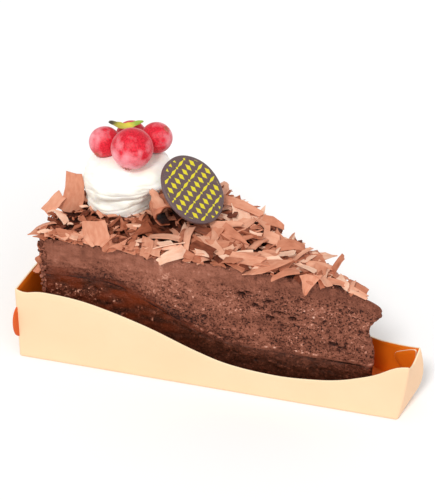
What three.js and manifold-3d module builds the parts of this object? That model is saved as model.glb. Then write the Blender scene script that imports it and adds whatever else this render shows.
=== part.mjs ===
// A wedge of baked chocolate cake in the folded card tray it is sold in, topped with chocolate
// flakes, a piped cream rosette, four frosted berries with a leaf, a chocolate disc and a curl.
// Millimetres, +Z up. The tip of the wedge points to +X, and the origin is the middle of the
// tray's footprint, on the surface it stands on.
import * as THREE from 'three';
import { mergeVertices } from 'three/addons/utils/BufferGeometryUtils.js';
import Module from 'manifold-3d';

const wasm = await Module();
wasm.setup();

const { lerp, smoothstep, clamp, degToRad } = THREE.MathUtils;

const GAP = 0.3; // between neighbouring pieces

// --- driving dimensions: the tray ---
const CARD = 0.6;
const FLOOR_LENGTH = 142.75; // wide end to tip end, along X
const WIDE_HALF = 52.6;
const TIP_HALF = 8.2;
const WIDE_BOW = 5.35; // the wide end wall follows the rim of the cake
const NEAR_LEAN = [0, 1.6, 2.9]; // the near corner at the tip leans out: at its foot, halfway, at its top
const FAR_LEAN = [-1.9, 1.9, -0.2]; // the far corner there is pushed out halfway up
const WIDE_WALL = 32.3;
const WIDE_X = -(FLOOR_LENGTH + WIDE_BOW + NEAR_LEAN[2]) / 2 + WIDE_BOW;
const TIP_X = WIDE_X + FLOOR_LENGTH;
const SIDE_LENGTH = Math.hypot(FLOOR_LENGTH, WIDE_HALF - TIP_HALF);
const TAPER = Math.atan2(WIDE_HALF - TIP_HALF, FLOOR_LENGTH); // each side wall to the X axis
// height of a side wall's cut edge against the distance from the wide end
const SIDE_EDGE = [[0, 33], [4, 31.6], [12, 32.9], [29, 31.3], [51, 25], [71, 17], [85, 12.9], [103, 11.4],
  [118, 12.6], [127, 14.4], [134, 16.9], [140.4, 19.5], [145.6, 21.8], [SIDE_LENGTH, 23.6]];
const TIP_DIP = 1.2; // how far the tip wall's edge sinks between its two corners
const TIP_PULL = 2.6; // how far the edge is pulled up beside the near corner
const TAB = { reach: 2.7, half: 7, height: 17 }; // of the end wall, out through each side wall
// outline of a glue flap of the tip wall: distance back from the corner, and height
const FLAP = [[0, 6], [4, 8.2], [8, 10.5], [10.1, 12.2], [10.7, 14], [10, 15.7], [6.3, 18.6],
  [2.4, 21.4], [0, 22.2]];

// --- driving dimensions: the cake ---
const APEX = new THREE.Vector2(59.7, -5.3);
const RADIUS = 128.2; // of the round cake that the wedge is cut from
const WEDGE = degToRad(35);
const CAKE_FLOOR = CARD + GAP;
const TOP = 54.3;
const TIP_SLUMP = 5; // the top sinks this much at the tip
const CROSS_FALL = 4.5; // and this much from the near face to the far one
const BASE_LOW = 18.2; // the dark base is this high under the tip
const BASE_RISE = 20; // and rises this much towards its baked rim
const BASE_SLOPE = [52, 108]; // between these distances from the tip
const TIP_BLUNT = 1.3;

// --- driving dimensions: the toppings ---
const FLAKE = 0.9; // thickness of a flake
const HEAP = 1.7; // depth of the shards that cover the cake under the larger flakes
const ROSETTE = { foot: [-51.5, -6.6], lean: [1.9, 2.6], turns: 2.1, groove: 1.9, lobe: 6.5 };
const ROSETTE_PROFILE = [[0, 0], [8, 0], [12.8, 0.5], [13.9, 4], [14.6, 8], [15.8, 12.5], [15.7, 16],
  [13.6, 19.6], [9.6, 21.6], [4.6, 22.5], [0, 22.7]]; // radius, height
const BERRIES = {
  berry_front: { at: [-43.4, -9.9, 82.0], radius: 8.0 },
  berry_left: { at: [-57.6, -7.4, 78.7], radius: 6.1 },
  berry_right: { at: [-41.8, 4.2, 79.7], radius: 6.1 },
  berry_back: { at: [-53.9, 4.8, 76.2], radius: 6.0 },
};
const LEAF = { from: [-59.1, -2.3, 84.2], by: [-52.0, -2.6, 82.9], to: [-48.7, 5.6, 83.6],
  half: 1.7, thick: 0.7 };
const DISC = { at: [-20.2, -3.6, 68.4], normal: [0.671, 0.012, 0.741], radius: 14.15, thick: 1.3, edge: 0.3 };
const CURL = { mouth: [-24.7, -14.1, 60.4], facing: [0.75, -0.66, 0], half: [6, 4.6], wall: 0.9, length: 8.5,
  ragged: 1.2, start: degToRad(-50), turn: degToRad(325) };
const TONGUE = { from: [-27.4, -14.9, 63.4], to: [-30.2, -16.6, 72.0], width: 5.8, roll: 90, bow: 0.7,
  taper: 0.41 };

// ---------------------------------------------------------------- shapes and solids

/** A geometry reduced to closed, merged positions. */
function closed(geometry) {
  geometry.deleteAttribute('normal');
  geometry.deleteAttribute('uv');
  return mergeVertices(geometry, 1e-3);
}

/** A geometry with every point p moved to place(p). */
function moulded(geometry, place) {
  const position = geometry.attributes.position;
  const p = new THREE.Vector3();
  for (let i = 0; i < position.count; i += 1) {
    const q = place(p.fromBufferAttribute(position, i));
    position.setXYZ(i, q.x, q.y, q.z);
  }
  return closed(geometry);
}

/** A closed block of nu x nv x nw cells whose points are moved to place(u, v, w), each 0 to 1. */
function block(nu, nv, nw, place) {
  const box = new THREE.BoxGeometry(1, 1, 1, nu, nv, nw);
  return moulded(box, (p) => place(p.x + 0.5, p.y + 0.5, p.z + 0.5));
}

/** An indexed geometry from a list of points and a list of triangles. */
function shell(points, triangles) {
  const geometry = new THREE.BufferGeometry();
  const flat = points.flatMap((p) => [p.x, p.y, p.z]);
  geometry.setAttribute('position', new THREE.Float32BufferAttribute(flat, 3));
  geometry.setIndex(triangles);
  return geometry;
}

/** A thin closed sheet. middle(u, v) is its middle surface, and both faces are split alike. */
function sheet(nu, nv, thick, middle) {
  const step = 1e-3;
  const points = [];
  for (const side of [1, -1]) {
    for (let i = 0; i <= nu; i += 1) {
      for (let j = 0; j <= nv; j += 1) {
        const [u, v] = [i / nu, j / nv];
        const along = middle(u + step, v).sub(middle(u - step, v));
        const across = middle(u, v + step).sub(middle(u, v - step));
        const normal = along.cross(across).normalize();
        points.push(middle(u, v).addScaledVector(normal, side * thick / 2));
      }
    }
  }
  const under = (nu + 1) * (nv + 1);
  const at = (face, i, j) => face * under + i * (nv + 1) + j;
  const triangles = [];
  for (let i = 0; i < nu; i += 1) {
    for (let j = 0; j < nv; j += 1) {
      const [a, b, c, d] = [at(0, i, j), at(0, i + 1, j), at(0, i + 1, j + 1), at(0, i, j + 1)];
      triangles.push(a, b, c, a, c, d);
      triangles.push(a + under, c + under, b + under, a + under, d + under, c + under);
    }
  }
  const rim = [];
  for (let i = 0; i < nu; i += 1) rim.push([i, 0]);
  for (let j = 0; j < nv; j += 1) rim.push([nu, j]);
  for (let i = nu; i > 0; i -= 1) rim.push([i, nv]);
  for (let j = nv; j > 0; j -= 1) rim.push([0, j]);
  rim.forEach(([i, j], k) => {
    const [m, n] = rim[(k + 1) % rim.length];
    triangles.push(at(0, i, j), at(1, i, j), at(1, m, n), at(0, i, j), at(1, m, n), at(0, m, n));
  });
  return shell(points, triangles);
}

/** The solid of a closed geometry, for joining and cutting. */
function solid(geometry) {
  const { attributes, index } = closed(geometry.clone());
  return new wasm.Manifold(new wasm.Mesh({
    numProp: 3,
    vertProperties: new Float32Array(attributes.position.array),
    triVerts: new Uint32Array(index.array),
  }));
}

/** The geometry of a solid's largest piece: scraps that a cut leaves loose are dropped. */
function surface(body) {
  const [largest] = body.decompose().sort((a, b) => b.volume() - a.volume());
  const { numProp, vertProperties, triVerts } = largest.getMesh();
  const points = [];
  for (let i = 0; i < vertProperties.length; i += numProp) {
    points.push(new THREE.Vector3(vertProperties[i], vertProperties[i + 1], vertProperties[i + 2]));
  }
  return shell(points, Array.from(triVerts));
}

/** A slow, smooth unevenness between -1 and 1 at a place on the cake. */
function uneven(x, y, z) {
  const waves = [x / 7.3 + y / 11 + 1, y / 6.1 - z / 5.3 + x / 19, z / 4.7 + x / 9.1 + 2];
  return waves.reduce((sum, wave) => sum + Math.sin(wave), 0) / waves.length;
}

/** Draws from 0 to 1 that are the same every time. */
function draws(seed) {
  let state = seed;
  return () => {
    state = (state * 1664525 + 1013904223) % 4294967296;
    return state / 4294967296;
  };
}

const model = new THREE.Group();

/** Adds a named piece with its own material to the model. */
function add(name, geometry, color, roughness) {
  geometry.computeVertexNormals();
  const mesh = new THREE.Mesh(geometry, new THREE.MeshStandardMaterial({ color, roughness, metalness: 0 }));
  mesh.name = name;
  model.add(mesh);
  return mesh;
}

// ---------------------------------------------------------------- the card tray

/** How much the cut edge is pulled up at a distance round the tray past its near corner at the tip. */
function pull(past) {
  return TIP_PULL * Math.exp(-(((past + 2.5) / 5) ** 2));
}

/** The places round the tray's outline: x, y, the edge's height, and at three levels how far the
 * wall is bowed along X, or leans out along the near side wall. */
function trayStations() {
  const edge = new THREE.SplineCurve(SIDE_EDGE.map(([s, h]) => new THREE.Vector2(s, h)));
  const corner = SIDE_EDGE.at(-1)[1];
  const side = edge.getPoints(25).map((p) => ({
    x: WIDE_X + p.x * Math.cos(TAPER),
    y: -WIDE_HALF + p.x * Math.sin(TAPER),
    top: p.y,
    past: p.x - SIDE_LENGTH,
    bows: [0, 0, 0],
    leans: [0, 0, 0],
  }));
  const near = side.map((p) => ({
    ...p,
    top: p.top + pull(p.past),
    leans: NEAR_LEAN.map((lean) => lean * clamp(1 + p.past / 12, 0, 1) ** 2),
  }));
  const far = side.map((p) => ({ ...p, y: -p.y })).reverse();
  far[0].bows = FAR_LEAN;
  const tip = [0.25, 0.5, 0.75].map((t) => ({
    x: TIP_X,
    y: lerp(-TIP_HALF, TIP_HALF, t),
    top: corner - TIP_DIP * Math.sin(Math.PI * t) + pull(2 * TIP_HALF * t),
    bows: FAR_LEAN.map((bow) => bow * t),
    leans: NEAR_LEAN.map((lean) => lean * (1 - t)),
  }));
  const wide = [0.8, 0.6, 0.4, 0.2, 0, -0.2, -0.4, -0.6, -0.8].map((across) => ({
    x: WIDE_X,
    y: WIDE_HALF * across,
    top: WIDE_WALL,
    bows: [0.6, 0.8, 1].map((share) => -WIDE_BOW * share * (1 - across ** 2)),
    leans: [0, 0, 0],
  }));
  return [...near, ...tip, ...far, ...wide];
}

/** Folded from one card: a flat floor and four upright walls, as one thin open shell. */
function trayShell() {
  const stations = trayStations();
  const count = stations.length;
  const ring = (level, thick) => stations.map((p, k) => {
    const [last, next] = [stations[(k + count - 1) % count], stations[(k + 1) % count]];
    const before = new THREE.Vector2(p.x - last.x, p.y - last.y).normalize();
    const after = new THREE.Vector2(next.x - p.x, next.y - p.y).normalize();
    const mitre = new THREE.Vector2(-before.y - after.y, before.x + after.x);
    mitre.multiplyScalar(2 * thick / mitre.lengthSq());
    const [x, y] = [p.x + p.bows[level] + p.leans[level], p.y + p.leans[level] * Math.tan(TAPER)];
    return new THREE.Vector3(x + mitre.x, y + mitre.y, Math.max(p.top * level / 2, thick));
  });
  const rings = [ring(0, 0), ring(1, 0), ring(2, 0), ring(2, CARD), ring(1, CARD), ring(0, CARD)];
  const points = rings.flat();
  const under = points.push(new THREE.Vector3(0, 0, 0)) - 1;
  const inside = points.push(new THREE.Vector3(0, 0, CARD)) - 1;
  const innerFloor = (rings.length - 1) * count;
  const triangles = [];
  for (let k = 0; k < count; k += 1) {
    const next = (k + 1) % count;
    for (let start = 0; start < innerFloor; start += count) {
      const [a, b] = [start + k, start + next];
      triangles.push(a, b, b + count, a, b + count, a + count);
    }
    triangles.push(under, next, k, inside, innerFloor + k, innerFloor + next);
  }
  return shell(points, triangles);
}

/** A flat piece of card cut to an outline in its own X and Z, standing upright. */
function cutCard(outline, curveSegments) {
  const card = new THREE.ExtrudeGeometry(outline, { depth: CARD, bevelEnabled: false, curveSegments });
  return card.rotateX(Math.PI / 2);
}

/** A half-oval tab of the end wall, pushed out through a slit beside the corner. */
function cornerTab(side) {
  const inward = 0.7;
  const oval = new THREE.Shape().absellipse(0, 0, TAB.reach + inward, TAB.half, 0, Math.PI * 2);
  const tab = cutCard(oval, 7).rotateZ(Math.PI / 2);
  return tab.translate(WIDE_X + 0.1, side * (WIDE_HALF - inward), TAB.height);
}

/** A glue flap of the tip wall, stuck to the inside of a side wall. */
function glueFlap(side) {
  const outline = new THREE.Shape(FLAP.map(([back, height]) => new THREE.Vector2(back, height)));
  const flap = cutCard(outline, 1).translate(0.4, CARD / 2, 0).rotateZ(Math.PI - side * TAPER);
  return flap.translate(TIP_X - CARD, side * (TIP_HALF - 1.4 * CARD), 0);
}

let tray = solid(trayShell());
for (const side of [-1, 1]) {
  tray = tray.add(solid(cornerTab(side))).add(solid(glueFlap(side)));
}
add('paper_tray', surface(tray), 0xfee0b4, 0.6);

// ---------------------------------------------------------------- the baked wedge

/** Height of the top at a distance from the apex and a share of the way across, near to far. */
function topHeight(r, across) {
  const slump = TIP_SLUMP * Math.exp(-((Math.max(r, 0) / 18) ** 1.3));
  const bumps = 0.5 * uneven(APEX.x - r, across * 60, 0) * smoothstep(r, 5, 30);
  return TOP - slump - CROSS_FALL * across + bumps;
}

/** Height of the dark base: level under the tip, rising to its baked rim. */
function baseHeight(r) {
  return BASE_LOW + BASE_RISE * smoothstep(r, ...BASE_SLOPE);
}

/** Where the tip of the wedge stands at a height: hollow below, with an overhanging nose above. */
function tipStart(z) {
  const hollow = 2.5 * Math.exp(-(((z - 34) / 5) ** 2));
  const nose = 3.1 * Math.exp(-(((z - 43.7) / 3.3) ** 2));
  return hollow - nose + 2.5 * smoothstep(z, 47.5, 51);
}

/** The point at a distance from the apex, a share of the way across, and a height. */
function cakePoint(r, across, z, grow = 0) {
  const turn = (across - 0.5) * WEDGE;
  const spread = 2 * across - 1;
  const side = r * Math.sin(turn) + spread * TIP_BLUNT * Math.exp(-r / 6);
  const wobble = 0.35 * uneven(APEX.x - r, spread * 40, z) + grow;
  const edge = Math.abs(spread) > 0.999 ? Math.sign(spread) * wobble : 0;
  return new THREE.Vector3(APEX.x - r * Math.cos(turn), APEX.y + side + edge, z);
}

/** A layer of the wedge between two heights, u from the rim to the tip, grown all round by grow. */
function layer(nu, nv, nw, low, high, grow = 0) {
  return block(nu, nv, nw, (u, v, w) => {
    const r = RADIUS * (1 - u);
    const z = lerp(low(r, v), high(r, v), w) + grow * (2 * w - 1);
    const tip = tipStart(z) + 1.2 * (2 * v - 1) ** 2 * u ** 8 - grow;
    const rim = RADIUS + 0.5 * uneven(v * 70, 30, z) + grow;
    return cakePoint(lerp(rim, tip, u), v, z, grow);
  });
}

const mousseFoot = (r) => baseHeight(r) + GAP;
add('sponge_base', layer(20, 6, 2, () => CAKE_FLOOR, baseHeight), 0x3a1e14, 0.85);
add('chocolate_mousse', layer(20, 6, 8, mousseFoot, topHeight), 0x955c4b, 0.75);

/** Height of the cake's top under a point in plan. */
function topUnder(x, y) {
  const [dx, dy] = [APEX.x - x, y - APEX.y];
  return topHeight(Math.hypot(dx, dy), clamp(Math.atan2(dy, dx) / WEDGE + 0.5, 0, 1));
}

// ---------------------------------------------------------------- cream, berries, disc, curl

/** A piped rosette: a turned profile with a groove that winds up it, and a lobe behind the disc. */
function rosette(grow = 0) {
  const profile = new THREE.SplineCurve(ROSETTE_PROFILE.map(([r, h]) => new THREE.Vector2(r, h)));
  const height = ROSETTE_PROFILE.at(-1)[1];
  const footTop = topUnder(...ROSETTE.foot);
  return moulded(new THREE.SphereGeometry(1, 32, 18), ({ x, y, z }) => {
    const v = 1 - Math.acos(clamp(y, -1, 1)) / Math.PI;
    const around = Math.atan2(-z, x);
    const { x: radius, y: up } = profile.getPoint(v);
    const wave = 0.5 + 0.5 * Math.cos(2 * Math.PI * ROSETTE.turns * up / height - around);
    const groove = ROSETTE.groove * wave ** 5 * Math.sin(Math.PI * v);
    const lobe = ROSETTE.lobe * Math.exp(-((around / 0.55) ** 2) - ((up - 17) / 5) ** 2);
    const out = radius > 0.01 ? radius - groove + lobe + grow : 0;
    const lean = smoothstep(up, 3, height);
    const px = ROSETTE.foot[0] + ROSETTE.lean[0] * lean + out * Math.cos(around);
    const py = ROSETTE.foot[1] + ROSETTE.lean[1] * lean + out * Math.sin(around);
    const foot = lerp(topUnder(px, py), footTop, smoothstep(up, 0, 8));
    return new THREE.Vector3(px, py, foot + 1.4 * GAP + up + grow * (up > 1 ? 1 : -3));
  });
}

/** A round berry, slightly flattened and uneven, with a dimple where its stalk was. */
function berry(radius, grow = 0) {
  return moulded(new THREE.IcosahedronGeometry(1, 3), (p) => {
    const dimple = 0.06 * smoothstep(p.z, 0.9, 1);
    const swell = 1 + 0.015 * Math.sin(3 * p.x + 2 * p.y + radius) - dimple;
    return p.multiplyScalar((radius + grow) * swell).multiply(new THREE.Vector3(1, 1, 0.97));
  });
}

/** A moulded chocolate disc with a softly chamfered edge, lying about its own middle. */
function disc(grow = 0) {
  const [r, h, edge] = [DISC.radius + grow, DISC.thick / 2 + grow, DISC.edge];
  const profile = [[0, -h], [r - edge, -h], [r, edge - h], [r, h - edge], [r - edge, h], [0, h]];
  return new THREE.LatheGeometry(profile.map(([x, y]) => new THREE.Vector2(x, y)), 40).rotateX(Math.PI / 2);
}

/** A sheet of chocolate rolled into a flattened open curl, its mouth at z = 0 and its length along -z. */
function curl() {
  return sheet(18, 2, CURL.wall, (u, v) => {
    const [wide, high] = CURL.half.map((half) => half - CURL.wall / 2 - 0.8 * u);
    const angle = CURL.start + CURL.turn * u;
    const long = CURL.length + CURL.ragged * Math.sin(5 * u);
    return new THREE.Vector3(wide * Math.cos(angle), high * Math.sin(angle), -long * v);
  });
}

/** The room that the curl needs, its hollow included. */
function curlPlug() {
  const long = CURL.length + CURL.ragged;
  const [wide, high] = CURL.half.map((half) => half + GAP);
  const plug = new THREE.CylinderGeometry(1, 1, long + 2 * GAP, 24).rotateX(Math.PI / 2);
  return plug.scale(wide, high, 1).translate(0, 0, -long / 2);
}

/** A shaved flake from one point to another, rolled about its length, bowed and tapering. */
function flake({ from, to, width, roll = 0, bow = 0.6, taper = 0.5 }, cells, thick = FLAKE) {
  const along = to.clone().sub(from);
  const flat = new THREE.Vector3(-along.y, along.x, 0).normalize();
  const across = flat.applyAxisAngle(along.clone().normalize(), degToRad(roll));
  const normal = along.clone().normalize().cross(across);
  return sheet(cells, 1, thick, (u, v) => {
    const half = width / 2 * lerp(1, taper, u);
    const skew = 0.12 * width * Math.sin(3 * u + width);
    const p = from.clone().addScaledVector(along, u);
    p.addScaledVector(across, half * (2 * v - 1) + skew);
    return p.addScaledVector(normal, bow * (4 * u * (1 - u) - 0.5));
  });
}

/** The curl's loose end, a tongue that stands up from its top, with or without room round it. */
function tongue(grow = 0) {
  const [from, to] = [new THREE.Vector3(...TONGUE.from), new THREE.Vector3(...TONGUE.to)];
  const more = to.clone().sub(from).setLength(grow);
  const width = TONGUE.width + 2 * grow;
  return flake({ ...TONGUE, from, to: to.add(more), width }, 4, FLAKE + 2 * grow);
}

const discUp = new THREE.Vector3(...DISC.normal).normalize();
const discPose = new THREE.Matrix4().compose(
  new THREE.Vector3(...DISC.at).addScaledVector(discUp, -DISC.thick / 2),
  new THREE.Quaternion().setFromUnitVectors(new THREE.Vector3(0, 0, 1), discUp),
  new THREE.Vector3(1, 1, 1),
);
const curlOut = new THREE.Vector3(...CURL.facing).normalize();
const curlSide = new THREE.Vector3(0, 0, 1).cross(curlOut);
const curlPose = new THREE.Matrix4().makeBasis(curlSide, curlOut.clone().cross(curlSide), curlOut);
curlPose.setPosition(...CURL.mouth);

const curlRoom = solid(curlPlug().applyMatrix4(curlPose)).add(solid(tongue(GAP)));
const discRoom = solid(disc(GAP).applyMatrix4(discPose));
let cream = solid(rosette()).subtract(discRoom).subtract(curlRoom);
for (const { at, radius } of Object.values(BERRIES)) {
  cream = cream.subtract(solid(berry(radius, GAP).translate(...at)));
}
add('cream_rosette', surface(cream), 0xfbfaf2, 0.5);

for (const [name, { at, radius }] of Object.entries(BERRIES)) {
  add(name, berry(radius), 0xe23a48, 0.55).position.set(...at);
}

/** A narrow pointed leaf of the berries' sprig, lying bent between them. */
function leaf() {
  const bends = [LEAF.from, LEAF.by, LEAF.to].map((p) => new THREE.Vector3(...p));
  const spine = new THREE.QuadraticBezierCurve3(...bends);
  return sheet(10, 4, LEAF.thick, (u, v) => {
    const along = spine.getTangent(u);
    const across = new THREE.Vector3(-along.y, along.x, 0).normalize();
    const half = 0.35 + LEAF.half * Math.sin(Math.PI * clamp(u, 0, 1)) ** 0.8;
    const fold = 0.5 * Math.abs(2 * v - 1) + 0.25 * Math.sin(9 * u);
    return spine.getPoint(u).addScaledVector(across, half * (2 * v - 1)).add(new THREE.Vector3(0, 0, fold));
  });
}
add('leaf_sprig', leaf(), 0xa9a53a, 0.6);

add('chocolate_disc', disc(), 0x5e4646, 0.4).applyMatrix4(discPose);
const rolled = solid(curl().applyMatrix4(curlPose)).add(solid(tongue()));
add('chocolate_curl', surface(rolled), 0xb98a76, 0.6);

// ---------------------------------------------------------------- the chocolate flakes

/** A point over the cake's top, from the tip outwards, across, and up from the surface. */
function overTop([r, across, lift]) {
  return cakePoint(r, across, topHeight(r, clamp(across, 0, 1)) + lift);
}

// the larger flakes that stand out of the heap; each end is [from the tip, across, lift]
const LARGE_FLAKES = [
  { from: [125.3, 0.258, 0.8], to: [124.5, 0.315, 15.4], width: 8.8, roll: 34, taper: 0.66 }, // upright
  { from: [133.3, 0.197, 1.4], to: [127.6, 0.263, 7.2], width: 4.6, roll: 50, taper: 0.9 }, // its lower lobe
  { from: [108, 0.0, 0.4], to: [109, 0.12, 6], width: 10.5, roll: -5, bow: 0.3, taper: 0.85 }, // square
  { from: [114, 0.07, 3], to: [107, -0.02, 0.6], width: 2.6, roll: 20 },
  { from: [105, 0.0, 0.8], to: [101, 0.1, 3], width: 3 },
  { from: [90.2, 0.163, 2.5], to: [75.5, 0.197, 2.5], width: 5, roll: -10, bow: 1.2 },
  { from: [76, 0.35, 4.5], to: [73, 0.08, 2.4], width: 3.6, roll: 10 },
  { from: [73, 0.09, 2.8], to: [81, -0.08, -0.4], width: 7, bow: 1, taper: 0.3 }, // petal over the edge
  { from: [70, 0.33, 3], to: [62, 0.01, 1], width: 5, roll: -15 },
  { from: [65, 0.24, 3], to: [56, 0.01, 1], width: 4.5, roll: 15 },
  { from: [48, 0.31, 3], to: [40, 0.28, 2.6], width: 4.5, roll: 15 },
  { from: [52, 0.38, 3], to: [50, 0.67, 4], width: 4.5, roll: -20 },
  { from: [30, 0.1, 3], to: [39, -0.14, 1], width: 5, bow: 1, taper: 0.3 }, // pointed, over the edge
  { from: [26, 0.05, 2.4], to: [25, -0.2, -4], width: 8, taper: 0.12 }, // triangle hanging down
  { from: [37, 0.05, 2], to: [34, 0.4, 4], width: 4, roll: 20 },
  { from: [35, 0.5, 2.4], to: [34, 0.95, 5.5], width: 3, roll: -20 },
  { from: [30, 0.5, 2.5], to: [22, 0.95, 3], width: 5, roll: 15 },
  { from: [22, 0.8, 0.5], to: [20, 1.15, 9], width: 3, taper: 0.8 }, // standing stick
  { from: [80, 0.85, 6], to: [62, 0.95, 5], width: 5, roll: 25, bow: 1.8 }, // long, at the far edge
  { from: [60, 0.92, 4], to: [51, 1.0, 4], width: 6, roll: 20, taper: 0.3 },
  { from: [45, 0.66, 3], to: [37, 0.95, 3.5], width: 6, roll: 20, bow: 1.2 },
  { from: [71, 0.49, 4], to: [62, 0.68, 4], width: 4.5, roll: 15 },
  { from: [19, 0.1, 2], to: [12, 0.2, 2], width: 4 },
  { from: [15, 0.95, 2.6], to: [6.5, 1.25, 2.8], width: 4, taper: 0.6 },
  { from: [12, 0.3, 1.8], to: [4, 0.4, 1.2], width: 3.4, roll: 10, taper: 0.6 },
  { from: [133, 0.05, 0], to: [126, 0.02, 0.8], width: 4.5, roll: 10 },
  { from: [131, 0.04, 2], to: [125, 0.1, 3], width: 4, roll: -25 },
  { from: [98, 0.01, 1.4], to: [91, -0.02, 0.4], width: 3, roll: 15 },
  { from: [128, 0.55, 1.5], to: [118, 0.7, 3], width: 7, roll: 20, bow: 1.2 },
  { from: [112, 0.82, 2], to: [124, 0.88, 3], width: 6, roll: -20 },
  { from: [98, 0.8, 3], to: [86, 0.86, 2.5], width: 6.5, roll: 12, bow: 1.4 },
];

/** Smaller flakes, spread evenly over the heap and thickest along its edges. */
function scatter() {
  const draw = draws(7);
  const pieces = [];
  const place = (r, across, reach) => {
    const heading = 2 * Math.PI * draw();
    const length = reach * lerp(0.7, 1.3, draw());
    const middle = overTop([r, across, lerp(1.6, 3.1, draw())]);
    const half = new THREE.Vector3(Math.cos(heading), Math.sin(heading), lerp(-0.28, 0.28, draw()));
    half.multiplyScalar(length / 2);
    pieces.push({
      from: middle.clone().sub(half),
      to: middle.clone().add(half),
      width: length * lerp(0.35, 0.65, draw()),
      roll: lerp(-28, 28, draw()),
      bow: lerp(0, 1, draw()),
      taper: lerp(0.35, 1, draw()),
    });
  };
  const [golden, plastic] = [0.7548776662, 0.5698402910]; // steps of an even two-way sequence
  for (let k = 1; k <= 40; k += 1) {
    const r = RADIUS * Math.sqrt(lerp(0.012, 0.97, (k * golden) % 1));
    place(r, lerp(0.06, 0.95, (k * plastic) % 1), 8);
  }
  for (let r = 16; r < RADIUS; r += 10) {
    place(r, 1.2 / r, 6);
    place(r + 5, 1 - 1.2 / r, 7);
  }
  for (let across = 0.1; across < 1; across += 0.16) place(RADIUS - 0.5, across, 7);
  return pieces;
}

/** The bed of shards that the flakes lie in: an uneven layer over the whole top. */
const bed = block(14, 5, 1, (u, v, w) => {
  const [r, across] = [lerp(RADIUS - 1.5, 9, u), lerp(0.012, 0.988, v)];
  const sunk = topHeight(r, across) - 2;
  const heaped = topHeight(r, across) + HEAP + 0.5 * uneven(9 * r, 80 * across, 0);
  return cakePoint(r, across, lerp(sunk, heaped, w));
});
let flakes = solid(bed);
for (const { from, to, ...rest } of LARGE_FLAKES) {
  flakes = flakes.add(solid(flake({ from: overTop(from), to: overTop(to), ...rest }, 3)));
}
for (const piece of scatter()) flakes = flakes.add(solid(flake(piece, 2)));
const cakeRoom = solid(layer(20, 6, 8, baseHeight, topHeight, GAP));
for (const room of [cakeRoom, solid(rosette(GAP)), curlRoom, discRoom]) flakes = flakes.subtract(room);
add('chocolate_flakes', surface(flakes), 0xc08a72, 0.65);

export default model;
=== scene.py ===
"""A slice of baked chocolate cake in its card tray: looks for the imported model, in metres, +Z up.

Lengths in the sections are in millimetres, and each mesh is turned into metres as it is made.
"""

import bmesh
import bpy
import numpy as np
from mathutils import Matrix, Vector


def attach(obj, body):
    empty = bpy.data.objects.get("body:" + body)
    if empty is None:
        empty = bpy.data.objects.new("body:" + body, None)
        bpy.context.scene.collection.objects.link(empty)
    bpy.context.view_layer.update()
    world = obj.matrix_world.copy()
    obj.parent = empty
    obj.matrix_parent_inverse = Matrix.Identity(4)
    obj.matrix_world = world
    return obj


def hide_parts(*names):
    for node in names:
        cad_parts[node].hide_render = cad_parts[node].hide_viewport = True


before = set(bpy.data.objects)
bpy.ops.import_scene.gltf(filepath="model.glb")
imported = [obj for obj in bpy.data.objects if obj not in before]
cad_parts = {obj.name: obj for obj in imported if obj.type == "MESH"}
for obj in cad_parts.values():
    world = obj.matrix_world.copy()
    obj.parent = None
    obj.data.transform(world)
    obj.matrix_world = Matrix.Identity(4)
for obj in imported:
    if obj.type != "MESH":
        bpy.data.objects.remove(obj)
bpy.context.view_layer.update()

# ---------------------------------------------------------------------------------- tray
# The tray is die-cut from one sheet of card, cream outside and orange inside, and folded
# up into a flat floor and four walls. The long walls are cut to a wave that dips towards
# the tip, and the raw cut shows the card's pale core.
CARD = 0.6
FOLD_OUTSIDE = 0.6
FOLD_INSIDE = 0.5
CUT_ROUNDING = 0.12
FLOOR_LENGTH = 142.75
WIDE_HALF = 52.6
TIP_HALF = 8.2
WIDE_BOW = 5.35
TIP_LEAN = 2.9
TIP_PULL = 2.6
WIDE_WALL = 32.3
WIDE_X = -(FLOOR_LENGTH + WIDE_BOW + TIP_LEAN) / 2 + WIDE_BOW
TIP_X = WIDE_X + FLOOR_LENGTH
SIDE_LENGTH = np.hypot(FLOOR_LENGTH, WIDE_HALF - TIP_HALF)
TAPER = np.arctan2(WIDE_HALF - TIP_HALF, FLOOR_LENGTH)
SIDE_EDGE = [(0, 33), (4, 31.6), (12, 32.9), (29, 31.3), (51, 25), (71, 17), (85, 12.9), (103, 11.4),
             (118, 12.6), (127, 14.4), (134, 16.9), (140.4, 19.5), (145.6, 21.8), (SIDE_LENGTH, 23.6)]
TIP_DIP = 1.2


def spline(knots, samples):
    """Points of the Catmull-Rom curve through the knots, evenly spaced in its parameter.

    Between knots b and c, with a before and d after, the point at t is
    (2b + (c-a)t + (2a-5b+4c-d)t^2 + (3b-a-3c+d)t^3) / 2.
    """
    knots = np.asarray(knots, float)
    at = np.linspace(0, len(knots) - 1, samples)
    first = np.minimum(at.astype(int), len(knots) - 2)
    t = (at - first)[:, None]
    a, b = knots[np.maximum(first - 1, 0)], knots[first]
    c, d = knots[first + 1], knots[np.minimum(first + 2, len(knots) - 1)]
    cubic = (3 * b - a - 3 * c + d) * t**3
    return (2 * b + (c - a) * t + (2 * a - 5 * b + 4 * c - d) * t**2 + cubic) / 2


def unit(vectors):
    """Vectors of length 1 that point the same way."""
    vectors = np.asarray(vectors, float)
    return vectors / np.linalg.norm(vectors, axis=-1, keepdims=True)


def triples(x, y, z):
    """Points or vectors from three grids of values, which are first repeated to one size."""
    return np.stack(np.broadcast_arrays(x, y, z), -1)


def full_turn(count):
    """Angles evenly round a full turn."""
    return np.linspace(0, 2 * np.pi, count, endpoint=False)


def bell(x, width):
    """1 where x is 0 and falling off to both sides, as exp(-(x / width)^2)."""
    return np.exp(-((x / width) ** 2))


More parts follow.
